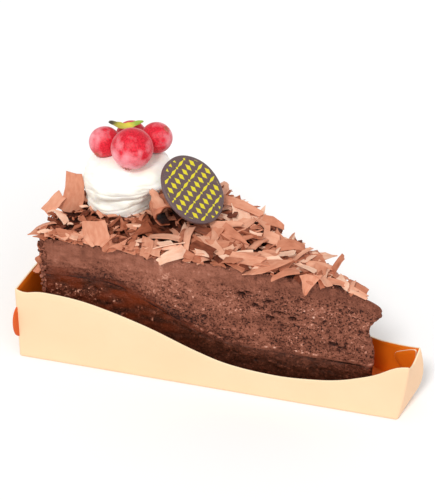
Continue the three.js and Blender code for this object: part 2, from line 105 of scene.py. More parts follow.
def ring_quads(rows, columns):
    """The quads of a grid of points numbered row by row, whose last column joins its first."""
    r = np.arange(rows - 1)[:, None]
    c = np.arange(columns)[None, :]
    right = (c + 1) % columns
    corners = (r * columns + c, r * columns + right, (r + 1) * columns + right, (r + 1) * columns + c)
    return np.stack(np.broadcast_arrays(*corners), -1).reshape(-1, 4)


def piece(name, points, materials, quads=None, finish=(), masks=None, sharp=40.0):
    """A mesh piece on the slice's one body, from points in mm, joined around unless quads are
    given. Doubled points are merged, so seams and poles close. finish is the material number of
    each quad, and masks are named values or vectors at the points. Edges sharper than the given
    angle stay crisp."""
    if quads is None:
        quads = ring_quads(*points.shape[:2])
    mesh = bpy.data.meshes.new(name)
    mesh.from_pydata((points.reshape(-1, 3) * 0.001).tolist(), [], quads.tolist())
    for material in materials:
        mesh.materials.append(material)
    if len(finish):
        mesh.polygons.foreach_set("material_index", finish)
    for mask, values in (masks or {}).items():
        vector = values.shape[-1] == 3 and values.size == points.size
        layer = mesh.attributes.new(mask, "FLOAT_VECTOR" if vector else "FLOAT", "POINT")
        layer.data.foreach_set("vector" if vector else "value", values.astype(np.float32).ravel())
    merged = bmesh.new()
    merged.from_mesh(mesh)
    bmesh.ops.remove_doubles(merged, verts=merged.verts, dist=2e-6)
    merged.to_mesh(mesh)
    merged.free()
    mesh.shade_smooth()
    mesh.set_sharp_from_angle(angle=np.radians(sharp))
    made = bpy.data.objects.new(name, mesh)
    bpy.context.scene.collection.objects.link(made)
    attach(made, "root")
    return made


def shade(red, green, blue):
    """A shader colour from a colour of a paint chart, 0 to 255."""
    chart = np.array([red, green, blue]) / 255
    low = chart / 12.92
    return (*np.where(chart > 0.04045, ((chart + 0.055) / 1.055) ** 2.4, low), 1.0)


def add_node(tree, kind, inputs=(), **settings):
    """A node with its settings; each input gets a plain value or a link from a socket."""
    made = tree.nodes.new(kind)
    for key, value in settings.items():
        setattr(made, key, value)
    for key, value in dict(inputs).items():
        if isinstance(value, bpy.types.NodeSocket):
            tree.links.new(value, made.inputs[key])
        else:
            made.inputs[key].default_value = value
    return made


def maths(tree, operation, *values):
    """The result of an operation on values or sockets."""
    return add_node(tree, "ShaderNodeMath", dict(enumerate(values)), operation=operation).outputs[0]


def new_material(name, **sockets):
    """A material with its Principled shader, whose named sockets hold plain values."""
    made = bpy.data.materials.new(name)
    made.use_nodes = True
    shader = made.node_tree.nodes["Principled BSDF"]
    for key, value in sockets.items():
        shader.inputs[key.replace("_", " ")].default_value = value
    return made, made.node_tree, shader


def grain_group():
    """Grain: two sizes of cloudy noise over a vector in metres. Grains are per millimetre."""
    tree = bpy.data.node_groups.new("grain", "ShaderNodeTree")
    sockets = [("Vector", "INPUT", "NodeSocketVector"), ("Coarse per mm", "INPUT", "NodeSocketFloat"),
               ("Fine per mm", "INPUT", "NodeSocketFloat"), ("Coarse", "OUTPUT", "NodeSocketFloat"),
               ("Fine", "OUTPUT", "NodeSocketFloat")]
    for name, way, kind in sockets:
        tree.interface.new_socket(name, in_out=way, socket_type=kind)
    given = add_node(tree, "NodeGroupInput")
    out = add_node(tree, "NodeGroupOutput")
    for name, detail in (("Coarse", 4.0), ("Fine", 3.0)):
        per_metre = maths(tree, "MULTIPLY", given.outputs[f"{name} per mm"], 1000.0)
        noise = add_node(tree, "ShaderNodeTexNoise", {
            "Vector": given.outputs["Vector"], "Scale": per_metre, "Detail": detail})
        tree.links.new(noise.outputs["Fac"], out.inputs[name])
    return tree


grain = grain_group()


def add_grain(tree, coarse, fine, vector=None):
    """A grain node over the piece's own space, or over a given vector."""
    if vector is None:
        vector = add_node(tree, "ShaderNodeTexCoord").outputs["Object"]
    inputs = {"Vector": vector, "Coarse per mm": coarse, "Fine per mm": fine}
    return add_node(tree, "ShaderNodeGroup", inputs, node_tree=grain)


def ramp(tree, fac, stops):
    """A colour ramp of (place, colour) stops."""
    made = add_node(tree, "ShaderNodeValToRGB", {"Fac": fac})
    elements = made.color_ramp.elements
    while len(elements) < len(stops):
        elements.new(0.5)
    for element, (place, colour) in zip(elements, stops):
        element.position, element.color = place, colour
    return made.outputs["Color"]


def dress(tree, shader, colour, height, depth_mm):
    """Feeds the shader a colour, and a height, 0 to 1, as relief of a depth."""
    tree.links.new(colour, shader.inputs["Base Color"])
    inputs = {"Height": height, "Strength": 1.0, "Distance": depth_mm * 0.001}
    made = add_node(tree, "ShaderNodeBump", inputs)
    tree.links.new(made.outputs["Normal"], shader.inputs["Normal"])


def card_finish(name, light, dark, roughness):
    """Printed card: a nearly even colour with a faint cloud of fibres."""
    made, tree, shader = new_material(name, Roughness=roughness)
    fibres = add_grain(tree, 0.05, 1.4)
    tint = ramp(tree, fibres.outputs["Coarse"], [(0.3, dark), (0.7, light)])
    dress(tree, shader, tint, fibres.outputs["Fine"], 0.03)
    return made


card_outside = card_finish("card_outside", shade(244, 205, 166), shade(242, 200, 160), 0.6)
card_core = card_finish("card_core", shade(250, 228, 192), shade(248, 222, 182), 0.8)
card_inside = card_finish("card_inside", shade(252, 128, 18), shade(246, 116, 12), 0.5)
# The tabs take a darker copy of the inside card: painted shade.
card_tab_painted_shade = card_finish("card_tab_painted_shade", shade(212, 88, 5), shade(202, 78, 3), 0.6)

edge_s, edge_h = spline(SIDE_EDGE, 400).T
corner_points = np.array([(WIDE_X, -WIDE_HALF), (TIP_X, -TIP_HALF), (TIP_X, TIP_HALF),
                          (WIDE_X, WIDE_HALF), (WIDE_X, -WIDE_HALF)])
corner_at = np.r_[0, np.cumsum(np.hypot(*np.diff(corner_points, axis=0).T))]


def tray_walls(q):
    """At a distance q round the tray: x, y, the edge's height, how far the wide wall bows out,
    how much the pushed-in far tip corner counts, and how far the near one leans out at its top."""
    q = q % corner_at[-1]
    x = np.interp(q, corner_at, corner_points[:, 0])
    y = np.interp(q, corner_at, corner_points[:, 1])
    to_far = np.clip((y + TIP_HALF) / (2 * TIP_HALF), 0, 1)
    tip_edge = SIDE_EDGE[-1][1] - TIP_DIP * np.sin(np.pi * to_far)
    legs = [q <= corner_at[1], q <= corner_at[2], q <= corner_at[3]]
    near_edge = np.interp(q, edge_s, edge_h)
    far_edge = np.interp(corner_at[3] - q, edge_s, edge_h)
    top = np.select(legs, [near_edge, tip_edge, far_edge], WIDE_WALL)
    wide = np.select(legs, [0, 0, 0], -WIDE_BOW * (1 - (y / WIDE_HALF) ** 2))
    fading = np.clip(1 - (q - corner_at[2]) / 6, 0, 1)
    far_corner = np.select(legs, [0 * q, to_far, fading], 0)
    leaning = np.clip(1 - (corner_at[1] - q) / 12, 0, 1) ** 2
    lean = TIP_LEAN * np.select(legs, [leaning, 1 - to_far, 0 * q], 0)
    pull = TIP_PULL * bell(q - corner_at[1] + 2.5, 5)
    return x, y, top + pull, wide, far_corner, lean


def tray_shell():
    """The folded card. Columns go round the outline, whose corners are rounded by averaging it
    over a short window. Rows go from the middle of the underside out, up the outer face, over
    the cut edge, down the inner face and in to the middle of the floor."""
    near_corners = corner_at[:4, None] + np.array([-2, -1.2, -0.7, -0.35, 0, 0.35, 0.7, 1.2, 2])
    q = np.unique(np.r_[np.arange(0, corner_at[-1], 1.7), near_corners.ravel() % corner_at[-1]])
    window = np.linspace(-0.9, 0.9, 13)[:, None]
    x, y, _, wide, far_corner, lean = (value.mean(axis=0) for value in tray_walls(q + window))
    top = tray_walls(q)[2]
    ahead, behind = tray_walls(q + window + 0.1), tray_walls(q + window - 0.1)
    dx, dy = ((a - b).mean(axis=0) for a, b in zip(ahead[:2], behind[:2]))
    inward = np.stack([-dy, dx]) / np.hypot(dx, dy)
    up = np.r_[0, 0.04, 0.1, 0.2, 0.3, 0.4, 0.5, 0.6, 0.7, 0.8, 0.9, 1]
    outer, inner = FOLD_OUTSIDE, CARD + FOLD_INSIDE
    rows = [(outer, 0 * top), (0.3 * outer, 0 * top + 0.3 * outer)]
    rows += [(0, outer + (top - outer - CUT_ROUNDING) * t) for t in up]
    rows += [(CUT_ROUNDING, top), (CARD - CUT_ROUNDING, top)]
    rows += [(CARD, inner + (top - inner - CUT_ROUNDING) * t) for t in up[::-1]]
    rows += [(CARD + 0.3 * FOLD_INSIDE, 0 * top + CARD + 0.3 * FOLD_INSIDE), (inner, 0 * top + CARD)]
    inset = np.array([row[0] for row in rows])[:, None]
    z = np.array([row[1] for row in rows])
    level = np.clip(z / top, 0, 1)
    bow = wide * (0.6 + 0.4 * level) + far_corner * (-1.9 + 13.5 * level - 11.8 * level**2)
    wave = 0.12 * np.sin(q / 9 + 2 * level) * np.sin(np.pi * level)
    out = lean * level * (1.2 - 0.2 * level)
    px = x + bow + out + (inset + wave) * inward[0]
    py = y + out * np.tan(TAPER) + (inset + wave) * inward[1]
    shell = triples(px, py, z)
    under, floor = np.zeros_like(shell[:1]), np.zeros_like(shell[:1])
    floor[..., 2] = CARD
    outer_rows = 3 + len(up) - 1
    faces_a_row = shell.shape[1]
    finish = np.repeat([0] * outer_rows + [1] * 3 + [2] * (len(up) + 2), faces_a_row)
    return np.concatenate([under, shell, floor]), finish


shell_points, shell_finish = tray_shell()
tray = piece("card_tray", shell_points, [card_outside, card_core, card_inside],
             finish=shell_finish, sharp=50)
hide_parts("paper_tray")


def card_plate(name, outline, middle, along, up, face, core):
    """A small flat flap of card with a finish for its faces and one for its cut edge: its outline,
    2-D points about its middle, lies in the plane of two directions."""
    along, up = unit(along), unit(up)
    normal = np.cross(along, up)
    rows = [(0, 0.5), (0.5, 0.5), (0.98, 0.5), (1, 0.4), (1, -0.4), (0.98, -0.5), (0.5, -0.5), (0, -0.5)]
    share, side = np.array(rows).T
    flat = outline[None] * share[:, None, None]
    lift = CARD * side[:, None, None] * 0.98 * normal
    points = np.asarray(middle, float) + flat[..., :1] * along + flat[..., 1:] * up + lift
    quads = ring_quads(*points.shape[:2])[:, ::-1]
    finish = np.repeat([0, 0, 1, 1, 1, 0, 0], len(outline))
    made = piece(name, points, [face, core], quads, finish, sharp=50)
    return made


TAB_HALVES = (3.4, 7.0)
TAB_HEIGHT = 17.0
FLAP_MIDDLE = (5.0, 14.0)
oval = np.stack([np.cos(full_turn(40)), np.sin(full_turn(40))], -1) * TAB_HALVES
flap_outline = spline([(0, 6), (4, 8.2), (8, 10.5), (10.1, 12.2), (10.7, 14), (10, 15.7), (6.3, 18.6),
                       (2.4, 21.4), (0.4, 22.2), (0, 20), (0, 14), (0, 9), (0, 6)], 61)[:-1] - FLAP_MIDDLE
for side, end in ((-1, "near"), (1, "far")):
    slit = (WIDE_X + 0.4, side * (WIDE_HALF - 0.7), TAB_HEIGHT)
    # The tab shows the inside card in its darker copy, which is painted shade.
    card_plate(f"card_tab_{end}", oval, slit, (0, 1, 0), (0, 0, 1), card_tab_painted_shade, card_tab_painted_shade)
    back = np.array([-np.cos(TAPER), side * np.sin(TAPER), 0])
    inward = np.array([-np.sin(TAPER), -side * np.cos(TAPER), 0])
    glued = np.array([TIP_X - 1.1, side * (TIP_HALF - 0.1), FLAP_MIDDLE[1]])
    glued = glued + FLAP_MIDDLE[0] * back + 1.5 * CARD * inward
    card_plate(f"card_flap_{end}", flap_outline, glued, back, (0, 0, 1), card_inside, card_core)

# ---------------------------------------------------------------------------- dark base
# The bottom of the cake baked densest and darkest, and it climbs towards the rim where the
# tin was hottest. It is cut with a knife, so its faces are flat but moist and crumbly.
APEX = (59.7, -5.3)
RADIUS = 128.2
WEDGE = np.radians(35)
CAKE_FLOOR = 0.9
TOP = 54.3
TIP_SLUMP = 5
CROSS_FALL = 4.5
BASE_LOW = 18.2
BASE_RISE = 20
BASE_SLOPE = (52, 108)
TIP_BLUNT = 1.3
TIP_CELLS = 8
RIM_CELLS = 120


def ease(x, low, high):
    """Rises smoothly from 0 at low to 1 at high, as 3t^2 - 2t^3."""
    t = np.clip((x - low) / (high - low), 0, 1)
    return t * t * (3 - 2 * t)


def uneven(x, y, z):
    """A slow unevenness, -1 to 1: the mean of three sine waves."""
    level = np.sin(x / 7.3 + y / 11 + 1)
    slanting = np.sin(y / 6.1 - z / 5.3 + x / 19)
    upright = np.sin(z / 4.7 + x / 9.1 + 2)
    return (level + slanting + upright) / 3


def top_height(r, across):
    """Height of the cake's top: level, but sunk at the tip and falling to the far face."""
    slump = TIP_SLUMP * np.exp(-((np.maximum(r, 0) / 18) ** 1.3))
    bumps = 0.5 * uneven(APEX[0] - r, across * 60, 0) * ease(r, 5, 30)
    return TOP - slump - CROSS_FALL * across + bumps


def base_height(r, across=0):
    """Height of the dark base: level under the tip, rising smoothly to the rim."""
    return BASE_LOW + BASE_RISE * ease(r, *BASE_SLOPE)


def tip_start(z):
    """Where the tip stands at a height: hollow below, an overhanging nose above, and cut back at
    the top."""
    return 2.5 * bell(z - 34, 5) - 3.1 * bell(z - 43.7, 3.3) + 2.5 * ease(z, 47.5, 51)


def cake_point(r, across, z):
    """Points at a distance from the apex, a share of the way across, and a height."""
    at = (across - 0.5) * WEDGE
    spread = 2 * across - 1
    side = r * np.sin(at) + spread * TIP_BLUNT * np.exp(-r / 6)
    wobble = 0.35 * uneven(APEX[0] - r, spread * 40, z)
    edge = np.where(np.abs(spread) > 0.999, np.sign(spread) * wobble, 0)
    return triples(APEX[0] - r * np.cos(at), APEX[1] + side + edge, z)


def scramble(cell, seed):
    """A number from 0 to 1 for each whole-numbered cell, mixed from its three counts and a seed."""
    x, y, z = np.moveaxis(cell, -1, 0)
    mixed = (x * 73856093) ^ (y * 19349663) ^ (z * 83492791) ^ (seed * 7919)
    mixed = ((mixed ^ (mixed >> 13)) * 1274126177) & 0x7FFFFFFF
    mixed = ((mixed ^ (mixed >> 15)) * 668265263) & 0x7FFFFFFF
    return ((mixed ^ (mixed >> 14)) & 0xFFFFFF) / 0xFFFFFF


def cloud(points, seed=0):
    """Smooth noise, -1 to 1: each corner of a unit grid has a scrambled value, and a point blends
    the eight corners of its cell, each weighted by 3t^2 - 2t^3 along each direction."""
    cell = np.floor(points).astype(np.int64)
    t = points - cell
    t = t * t * (3 - 2 * t)
    total = 0
    for corner in np.ndindex(2, 2, 2):
        weight = np.prod(np.where(np.array(corner) > 0, t, 1 - t), axis=-1)
        total = total + weight * scramble(cell + np.array(corner), seed)
    return 2 * total - 1


def pits(points, seed, share, smallest, largest):
    """Depth of round holes, 0 outside to 1 in the middle. A share of the unit cells holds one, at
    a scrambled place and with a scrambled radius; the deepest of the 27 nearest cells counts."""
    home = np.floor(points).astype(np.int64)
    deepest = np.zeros(points.shape[:-1])
    for step in np.ndindex(3, 3, 3):
        cell = home + np.array(step) - 1
        place = cell + triples(*(scramble(cell, seed + k) for k in (1, 2, 3)))
        radius = smallest + (largest - smallest) * scramble(cell, seed + 4)
        there = scramble(cell, seed + 5) < share
        reach = 1 - np.linalg.norm(points - place, axis=-1) / radius
        deepest = np.maximum(deepest, np.where(there, reach, 0))
    return deepest


def wedge_skin(low, high, side_cells, levels):
    """The closed skin of a layer of the wedge. Columns go round its plan: the near face from rim
    to tip, the tip, the far face back, and the rim. Rows go from the middle of its underside
    out, up the sides and in to the middle of its top. Gives the points and each one's r and w."""
    along = np.linspace(0, 1, side_cells + 1)
    tip_across, rim_across = np.linspace(0, 1, TIP_CELLS + 1), np.linspace(1, 0, RIM_CELLS + 1)
    u = np.r_[along[:-1], np.ones(TIP_CELLS), along[::-1][:-1], np.zeros(RIM_CELLS)]
    v = np.r_[np.zeros(side_cells), tip_across[:-1], np.ones(side_cells), rim_across[:-1]]
    rings = np.array([0, 0.35, 0.65, 0.85, 0.93, 0.97, 0.99])
    share = np.r_[rings, np.ones(levels), rings[::-1]][:, None]
    w = np.r_[0 * rings, np.linspace(0, 1, levels), 0 * rings + 1][:, None]
    u, v = 0.4 + (u - 0.4) * share, 0.5 + (v - 0.5) * share
    r = RADIUS * (1 - u)
    z = low(r, v) + (high(r, v) - low(r, v)) * w
    tip = tip_start(z) + 1.2 * (2 * v - 1) ** 2 * np.clip(u, 0, 1) ** 8
    rim = RADIUS + 0.5 * uneven(v * 70, 30, z)
    points = cake_point(rim + (tip - rim) * u, v, z)
    rounded = sum(np.roll(points, step, axis=1) for step in (-2, -1, 0, 1, 2)) / 5
    return rounded, rim + (tip - rim) * u + 0 * z, w + 0 * u


def outward(points):
    """Unit normals of a grid of points whose columns run round it."""
    across = np.roll(points, -1, axis=1) - np.roll(points, 1, axis=1)
    upward = np.gradient(points, axis=0)
    normal = np.cross(across, upward)
    return normal / np.maximum(np.linalg.norm(normal, axis=-1, keepdims=True), 1e-9)


base_skin, base_r, base_w = wedge_skin(lambda r, v: CAKE_FLOOR + 0 * r, base_height, 250, 46)
side = (base_w > 0.001) & (base_w < 0.999)
base_z = base_skin[..., 2]
rough = cloud(base_skin / [1.1, 1.1, 0.8], 11)
lumps = cloud(base_skin / [3.2, 3.2, 1.6], 12)
crumbly = ease(base_r, 70, 100) * ease(base_height(base_r) - base_z, 1.5, 4.5)
holes = pits(base_skin / 2.6, 13, 0.35, 0.15, 0.42)
torn_rim = bell(RADIUS - base_r, 2.2) * cloud(base_skin / 1.8, 17)
relief = 0.25 * lumps + (0.12 + 0.3 * crumbly) * rough - (0.5 + 0.5 * crumbly) * holes + 0.9 * torn_rim
base_points = base_skin + outward(base_skin) * (relief * side)[..., None]
below = base_height(base_r) - base_z
patches = np.clip(0.5 + cloud(base_skin / [5, 5, 2], 15), 0, 1)
wet = bell(below - 1.2, 2.2) * ease(base_r, 45, 75)
smear = bell(base_r - 92, 8) * bell(base_z - 32.5, 2.2) + 0.8 * patches**1.5 * ease(base_r, 62, 90)
specks = np.clip(cloud(base_skin / 0.9, 14) - 0.4, 0, 1) * (0.3 + 1.9 * crumbly * (1 - patches))
# The tone darkens in the holes: painted shade.
base_tone = 0.42 + 0.10 * lumps + 0.10 * rough - 0.10 * wet + specks - 0.35 * holes
# Darker towards the bottom, down to the tray's edge, except near the rim: painted shade of the tray wall.
base_tone = base_tone - 0.11 * ease(below, 2.5, 7) * (1 - ease(base_r, 95, 120))
base_masks = {"tone": np.clip(base_tone, 0, 1), "grit": 0.5 + 0.5 * crumbly,
              "smear": np.clip(smear, 0, 1), "wet": np.clip(wet + 0.4 * (1 - crumbly), 0, 1)}


def mask_of(tree, name, kind="Fac"):
    """A value or a vector that the mesh holds at its points."""
    return add_node(tree, "ShaderNodeAttribute", attribute_name=name).outputs[kind]


def stretched(tree, value, low, high, to_low, to_high):
    """A value moved from one range to another, and held at the ends of it."""
    inputs = {"Value": value, "From Min": low, "From Max": high, "To Min": to_low, "To Max": to_high}
    return add_node(tree, "ShaderNodeMapRange", inputs).outputs[0]


def laid_over(tree, share, under, over):
    """One colour laid over another by a share."""
    inputs = {"Factor": share, 6: under, 7: over}
    return add_node(tree, "ShaderNodeMix", inputs, data_type="RGBA").outputs[2]


def crumb_finish(name, stops, roughness, smear_colour, flecks):
    """Baked crumb: its colour follows the tone at each point, broken by dark specks of painted shade for
    pores, and by pale flecks where it is gritty. Another colour lies over it in smears, and it shines
    where wet."""
    made, tree, shader = new_material(name, Specular_IOR_Level=0.2)
    grains = add_grain(tree, 0.9, 1.5)
    # Dark specks where the fine grain is high: painted shade of pores.
    pore_shade = stretched(tree, grains.outputs["Fine"], 0.52, 0.64, 0.08, -0.36)
    pale = stretched(tree, grains.outputs["Coarse"], 0.56, 0.69, -0.04, flecks)
    both = maths(tree, "ADD", pore_shade, pale)
    mixed = maths(tree, "MULTIPLY_ADD", both, mask_of(tree, "grit"), mask_of(tree, "tone"))
    colour = laid_over(tree, mask_of(tree, "smear"), ramp(tree, mixed, stops), smear_colour)
    dry = maths(tree, "MULTIPLY_ADD", mask_of(tree, "wet"), -0.3, roughness)
    tree.links.new(dry, shader.inputs["Roughness"])
    dress(tree, shader, colour, grains.outputs["Fine"], 0.3)
    return made


base_crumb = crumb_finish("dark_crumb", [
    (0.0, shade(24, 7, 2)), (0.35, shade(66, 32, 19)), (0.55, shade(98, 52, 36)),
    (0.8, shade(150, 90, 68)), (1.0, shade(214, 160, 136))], 0.6, shade(106, 41, 14), 0.40)
dark_base = piece("dark_base", base_points, [base_crumb], masks=base_masks, sharp=75)
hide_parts("sponge_base")

# --------------------------------------------------------------------------- pale mousse
# The upper part baked light and airy, with pores and a few larger holes, under a smooth
# band that the knife polished. Crumbs drag along the cut where it meets the base.
mousse_skin, mousse_r, mousse_w = wedge_skin(lambda r, v: base_height(r) - 0.3, top_height, 285, 74)
side = (mousse_w > 0.001) & (mousse_w < 0.999)
mousse_z = mousse_skin[..., 2]
above = mousse_z - base_height(mousse_r)
band = ease(mousse_z, 43, 48)
airy = (1 - 0.75 * band) * ease(above, 0, 2)
toward_tip = 1 - ease(mousse_r, 25, 95)
wave = cloud(mousse_skin / [9, 9, 5], 21)
lumps = cloud(mousse_skin / [2.6, 2.6, 1.5], 22)
rough = cloud(mousse_skin / [0.9, 0.9, 0.7], 23)
small = pits(mousse_skin / [1.9, 1.9, 1.4], 24, 0.55, 0.2, 0.45) * airy * (0.6 + 0.6 * toward_tip)
large = pits(mousse_skin / [6.5, 6.5, 4.5], 30, 0.30, 0.10, 0.26) * airy * (0.35 + 0.65 * toward_tip)
# Each larger hole on the near face: distance from the apex, height, half length, half height.
HOLES = [(51, 42, 1.5, 1.1), (48.5, 43.4, 1.6, 0.5), (39.6, 33.5, 1.7, 0.7), (31, 34.7, 1.5, 0.8),
         (15.4, 25.5, 1.9, 0.9), (12, 24.6, 1.5, 0.5), (36, 36.5, 2.4, 0.5)]
named = np.zeros_like(mousse_z)
for r, z, long, high in HOLES:
    spot = ((mousse_r - r) / long) ** 2 + ((mousse_z - z) / high) ** 2
    named = np.maximum(named, np.exp(-spot**2) * (mousse_skin[..., 1] < APEX[1]))
torn_rim = bell(RADIUS - mousse_r, 2.2) * cloud(mousse_skin / 1.8, 17)
relief = 0.25 * wave + (0.10 + 0.2 * airy) * lumps + (0.05 + 0.17 * airy) * rough
relief = relief - 0.7 * small - 2.2 * large - 2.0 * named + 0.9 * torn_rim
mousse_points = mousse_skin + outward(mousse_skin) * (relief * side)[..., None]
crest = bell(above - 1.6 - 0.7 * lumps, 0.9) * (1 - ease(mousse_r, 60, 80))
crumb_line = crest * np.clip(cloud(mousse_skin / [1.6, 1.6, 0.6], 27) + 0.1, 0, 1)
upper_line = bell(mousse_z - 39.5 - 0.05 * mousse_r, 1.6) * (1 - ease(mousse_r, 22, 45))
upper_line = upper_line * np.clip(cloud(mousse_skin / [2.4, 2.4, 0.5], 28) - 0.1, 0, 1)
inland = ease(mousse_r, 55, 80)
dragged = cloud(triples(mousse_skin[..., 0] / 7, mousse_skin[..., 1] / 7, above / 1.1), 25)
soak = bell(np.maximum(above, 0), 3.4 + 1.6 * dragged) * inland
scratches = cloud(mousse_skin / [0.7, 0.7, 5], 29) * band
tone = 0.63 + 0.08 * wave + 0.10 * lumps + 0.12 * rough * airy + 0.05 * scratches - 0.21 * toward_tip
tone = tone + 0.10 * dragged * inland * (1 - band) - 0.05 * (1 - inland) * (1 - ease(above, 4, 12))
heavy = bell(above, 11) * ease(mousse_r, 40, 70) * (1 - ease(mousse_r, 100, 118))
tone = tone - 0.12 * ease(mousse_r, 92, 122) - 0.22 * heavy
# The pores and holes are darkened as painted shade; the soaked band is darker and the crumb lines paler.
tone = tone - 0.6 * small - 0.9 * large - 0.6 * named - 0.30 * soak + 0.7 * crumb_line + 0.6 * upper_line
# The top under the flakes is painted dark, away from the tip: painted shade between and under the flakes.
tone = tone - 0.42 * ((mousse_w > 0.999) & ~side) * ease(mousse_r, 10, 24)
uneven_grit = 0.8 + 0.5 * cloud(mousse_skin / [5, 5, 3], 26)
calm = 1 - 0.6 * ease(mousse_r, 72, 102)
grit = 0.15 + airy * uneven_grit * (0.4 + 0.7 * toward_tip) + 0.35 * inland * bell(above, 5)
grit = grit * calm + 0.5 * heavy
mousse_smear = np.clip(0.75 * soak * (0.5 + dragged), 0, 1)
mousse_masks = {"tone": np.clip(tone, 0, 1), "grit": grit, "smear": mousse_smear,
                "wet": np.clip(soak, 0, 1)}
mousse_crumb = crumb_finish("mousse_crumb", [
    (0.0, shade(36, 11, 5)), (0.22, shade(78, 36, 22)), (0.5, shade(131, 77, 58)),
    (0.66, shade(153, 95, 75)), (0.85, shade(204, 148, 126)), (1.0, shade(240, 204, 186))],
    0.66, shade(104, 42, 17), 0.24)
mousse = piece("mousse", mousse_points, [mousse_crumb], masks=mousse_masks, sharp=75)
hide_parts("chocolate_mousse")

# --------------------------------------------------------------------------------- cream
# Whipped cream piped in two turns from a plain nozzle. It slumps a little, keeps a spiral
# crease, and gives way where the berries are pressed in and where the disc leans on it.
FOOT = (-51.5, -6.6)
LEAN = (1.9, 2.6)
TURNS = 2.1
ROSETTE_PROFILE = [(0, 0), (8, 0), (12.8, 0.5), (13.9, 4), (14.6, 8), (15.8, 12.5), (15.7, 16),
                   (13.6, 19.6), (9.6, 21.6), (4.6, 22.5), (0, 22.7)]
BERRIES = {"berry_front": ((-43.4, -9.9, 82.0), 8.0), "berry_left": ((-57.6, -7.4, 78.7), 6.1),
           "berry_right": ((-41.8, 4.2, 79.7), 6.1), "berry_back": ((-53.9, 4.8, 76.2), 6.0)}
DISC_AT = np.array([-20.2, -3.6, 68.4])
DISC_NORMAL = unit([0.671, 0.012, 0.741])
DISC_RADIUS = 14.15
DISC_THICK = 1.3


def top_under(x, y):
    """Height of the cake's top under a point in plan."""
    dx, dy = APEX[0] - x, y - APEX[1]
    return top_height(np.hypot(dx, dy), np.clip(np.arctan2(dy, dx) / WEDGE + 0.5, 0, 1))


def rosette():
    """The piped cream: a profile turned round, less a crease that winds up it, tilted and deepest
    on one side. The crease is a narrow power of a cosine of the way round minus the turns
    climbed, and fainter folds between its turns are one of three times the turns. Points that
    would lie in a berry or in the disc are moved out to its surface."""
    profile = spline(ROSETTE_PROFILE, 150)
    around = full_turn(220)[None]
    radius, up = profile[:, :1], profile[:, 1:]
    height = ROSETTE_PROFILE[-1][1]
    v = np.linspace(0, 1, len(profile))[:, None]
    wander = triples(2 * np.cos(around), 2 * np.sin(around), up / 5)
    climbed = up - 2.4 * np.cos(around - 0.56) + 1.2 * cloud(wander, 43)
    wave = 0.5 + 0.5 * np.cos(2 * np.pi * TURNS * climbed / height - around)
    deep = 0.35 + 0.65 * bell((around + 0.3 + np.pi) % (2 * np.pi) - np.pi, 0.7)
    fold = 0.5 + 0.5 * np.cos(2 * np.pi * 3 * TURNS * climbed / height - around + 2)
    crease = (0.8 * wave**4 + 0.9 * wave**24 * deep + 0.28 * fold**5) * np.sin(np.pi * v)
    lobe = 6.5 * bell((around + np.pi) % (2 * np.pi) - np.pi, 0.55) * bell(up - 17, 5)
    out = np.where(radius > 0.01, radius - crease + lobe, 0)
    lean = ease(up, 3, height)
    x = FOOT[0] + LEAN[0] * lean + out * np.cos(around)
    y = FOOT[1] + LEAN[1] * lean + out * np.sin(around)
    foot = top_under(x, y) + (top_under(*FOOT) - top_under(x, y)) * ease(up, 0, 8)
    points = triples(x, y, foot + 0.42 + up)
    soft = cloud(points / [5, 5, 4], 41)[..., None] * 0.8 + cloud(points / 2.2, 42)[..., None] * 0.2
    points = points + outward(points) * soft * np.sin(np.pi * v)[..., None]
    for at, size in BERRIES.values():
        away = points - np.array(at)
        far = np.linalg.norm(away, axis=-1, keepdims=True)
        points = np.where(far < size + 0.1, np.array(at) + away / far * (size + 0.1), points)
    off = (points - DISC_AT) @ DISC_NORMAL
    beside = np.linalg.norm(points - DISC_AT - off[..., None] * DISC_NORMAL, axis=-1)
    sunk = np.where((off > -DISC_THICK - 0.3) & (beside < DISC_RADIUS + 1), off + DISC_THICK + 0.3, 0)
    return points - sunk[..., None] * DISC_NORMAL


def cream_finish():
    """Whipped cream: off-white, slightly see-through, with a silky sheen."""
    made, tree, shader = new_material("whipped_cream", Roughness=0.5, Subsurface_Weight=0.15,
                                      Subsurface_Radius=(1.0, 1.0, 0.7), Subsurface_Scale=0.002,
                                      Sheen_Weight=0.8, Sheen_Roughness=0.6, Sheen_Tint=(1, 1, 0.93, 1))
    soft = add_grain(tree, 0.12, 1.2)
    tint = ramp(tree, soft.outputs["Coarse"], [(0.35, shade(255, 255, 236)),
                                               (0.65, shade(255, 255, 248))])
    dress(tree, shader, tint, soft.outputs["Fine"], 0.05)
    return made


cream_points = rosette()
cream = piece("piped_cream", cream_points, [cream_finish()], sharp=180)
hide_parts("cream_rosette")

# ------------------------------------------------------------------------------- berries
# Red berries from the freezer, pressed into the cream. Their skin is thin and taut, dusted
# with frost that is thickest on the side, and each keeps the dried brown end of its flower.
def sphere(polar, around):
    """Unit vectors from their angle to the pole and their angle round it."""
    return triples(np.sin(polar) * np.cos(around), np.sin(polar) * np.sin(around), np.cos(polar))


def berry_skin(at, size, tail, frosty, seed):
    """A sphere in rows from pole to pole about the direction of its flower end, swollen slowly
    with cloudy noise. That end is dimpled inside a low, ragged ring. Frost counts most where the
    skin faces the frosty direction. Also gives masks of the frost and of the withered ring."""
    tail = unit(tail)
    side = unit(np.cross(tail, [0.3, 0.2, 1.0]))
    polar = np.pi * np.linspace(0, 1, 90)[:, None] ** 1.4
    around = full_turn(120)[None]
    way = sphere(polar, around) @ np.stack([side, np.cross(tail, side), tail])
    ragged = 0.6 + 0.4 * np.cos(5 * around + seed) * np.sin(3 * around)
    ring = bell(polar - 0.19, 0.055) * ragged
    dimple = 0.06 * bell(polar, 0.13)
    swell = 1 + 0.012 * cloud(way * 1.7 + seed, seed) - dimple + 0.09 * ring
    frost = 0.31 + 0.5 * (way @ unit(frosty)) + 0.22 * cloud(way * 3.4 + seed, seed)
    withered = np.exp(-((polar / 0.24) ** 4)) * (0.5 + 0.5 * ragged)
    points = np.array(at) + size * swell[..., None] * way * [1, 1, 0.97]
    return points, {"frost": np.clip(frost, 0, 1), "withered": withered}


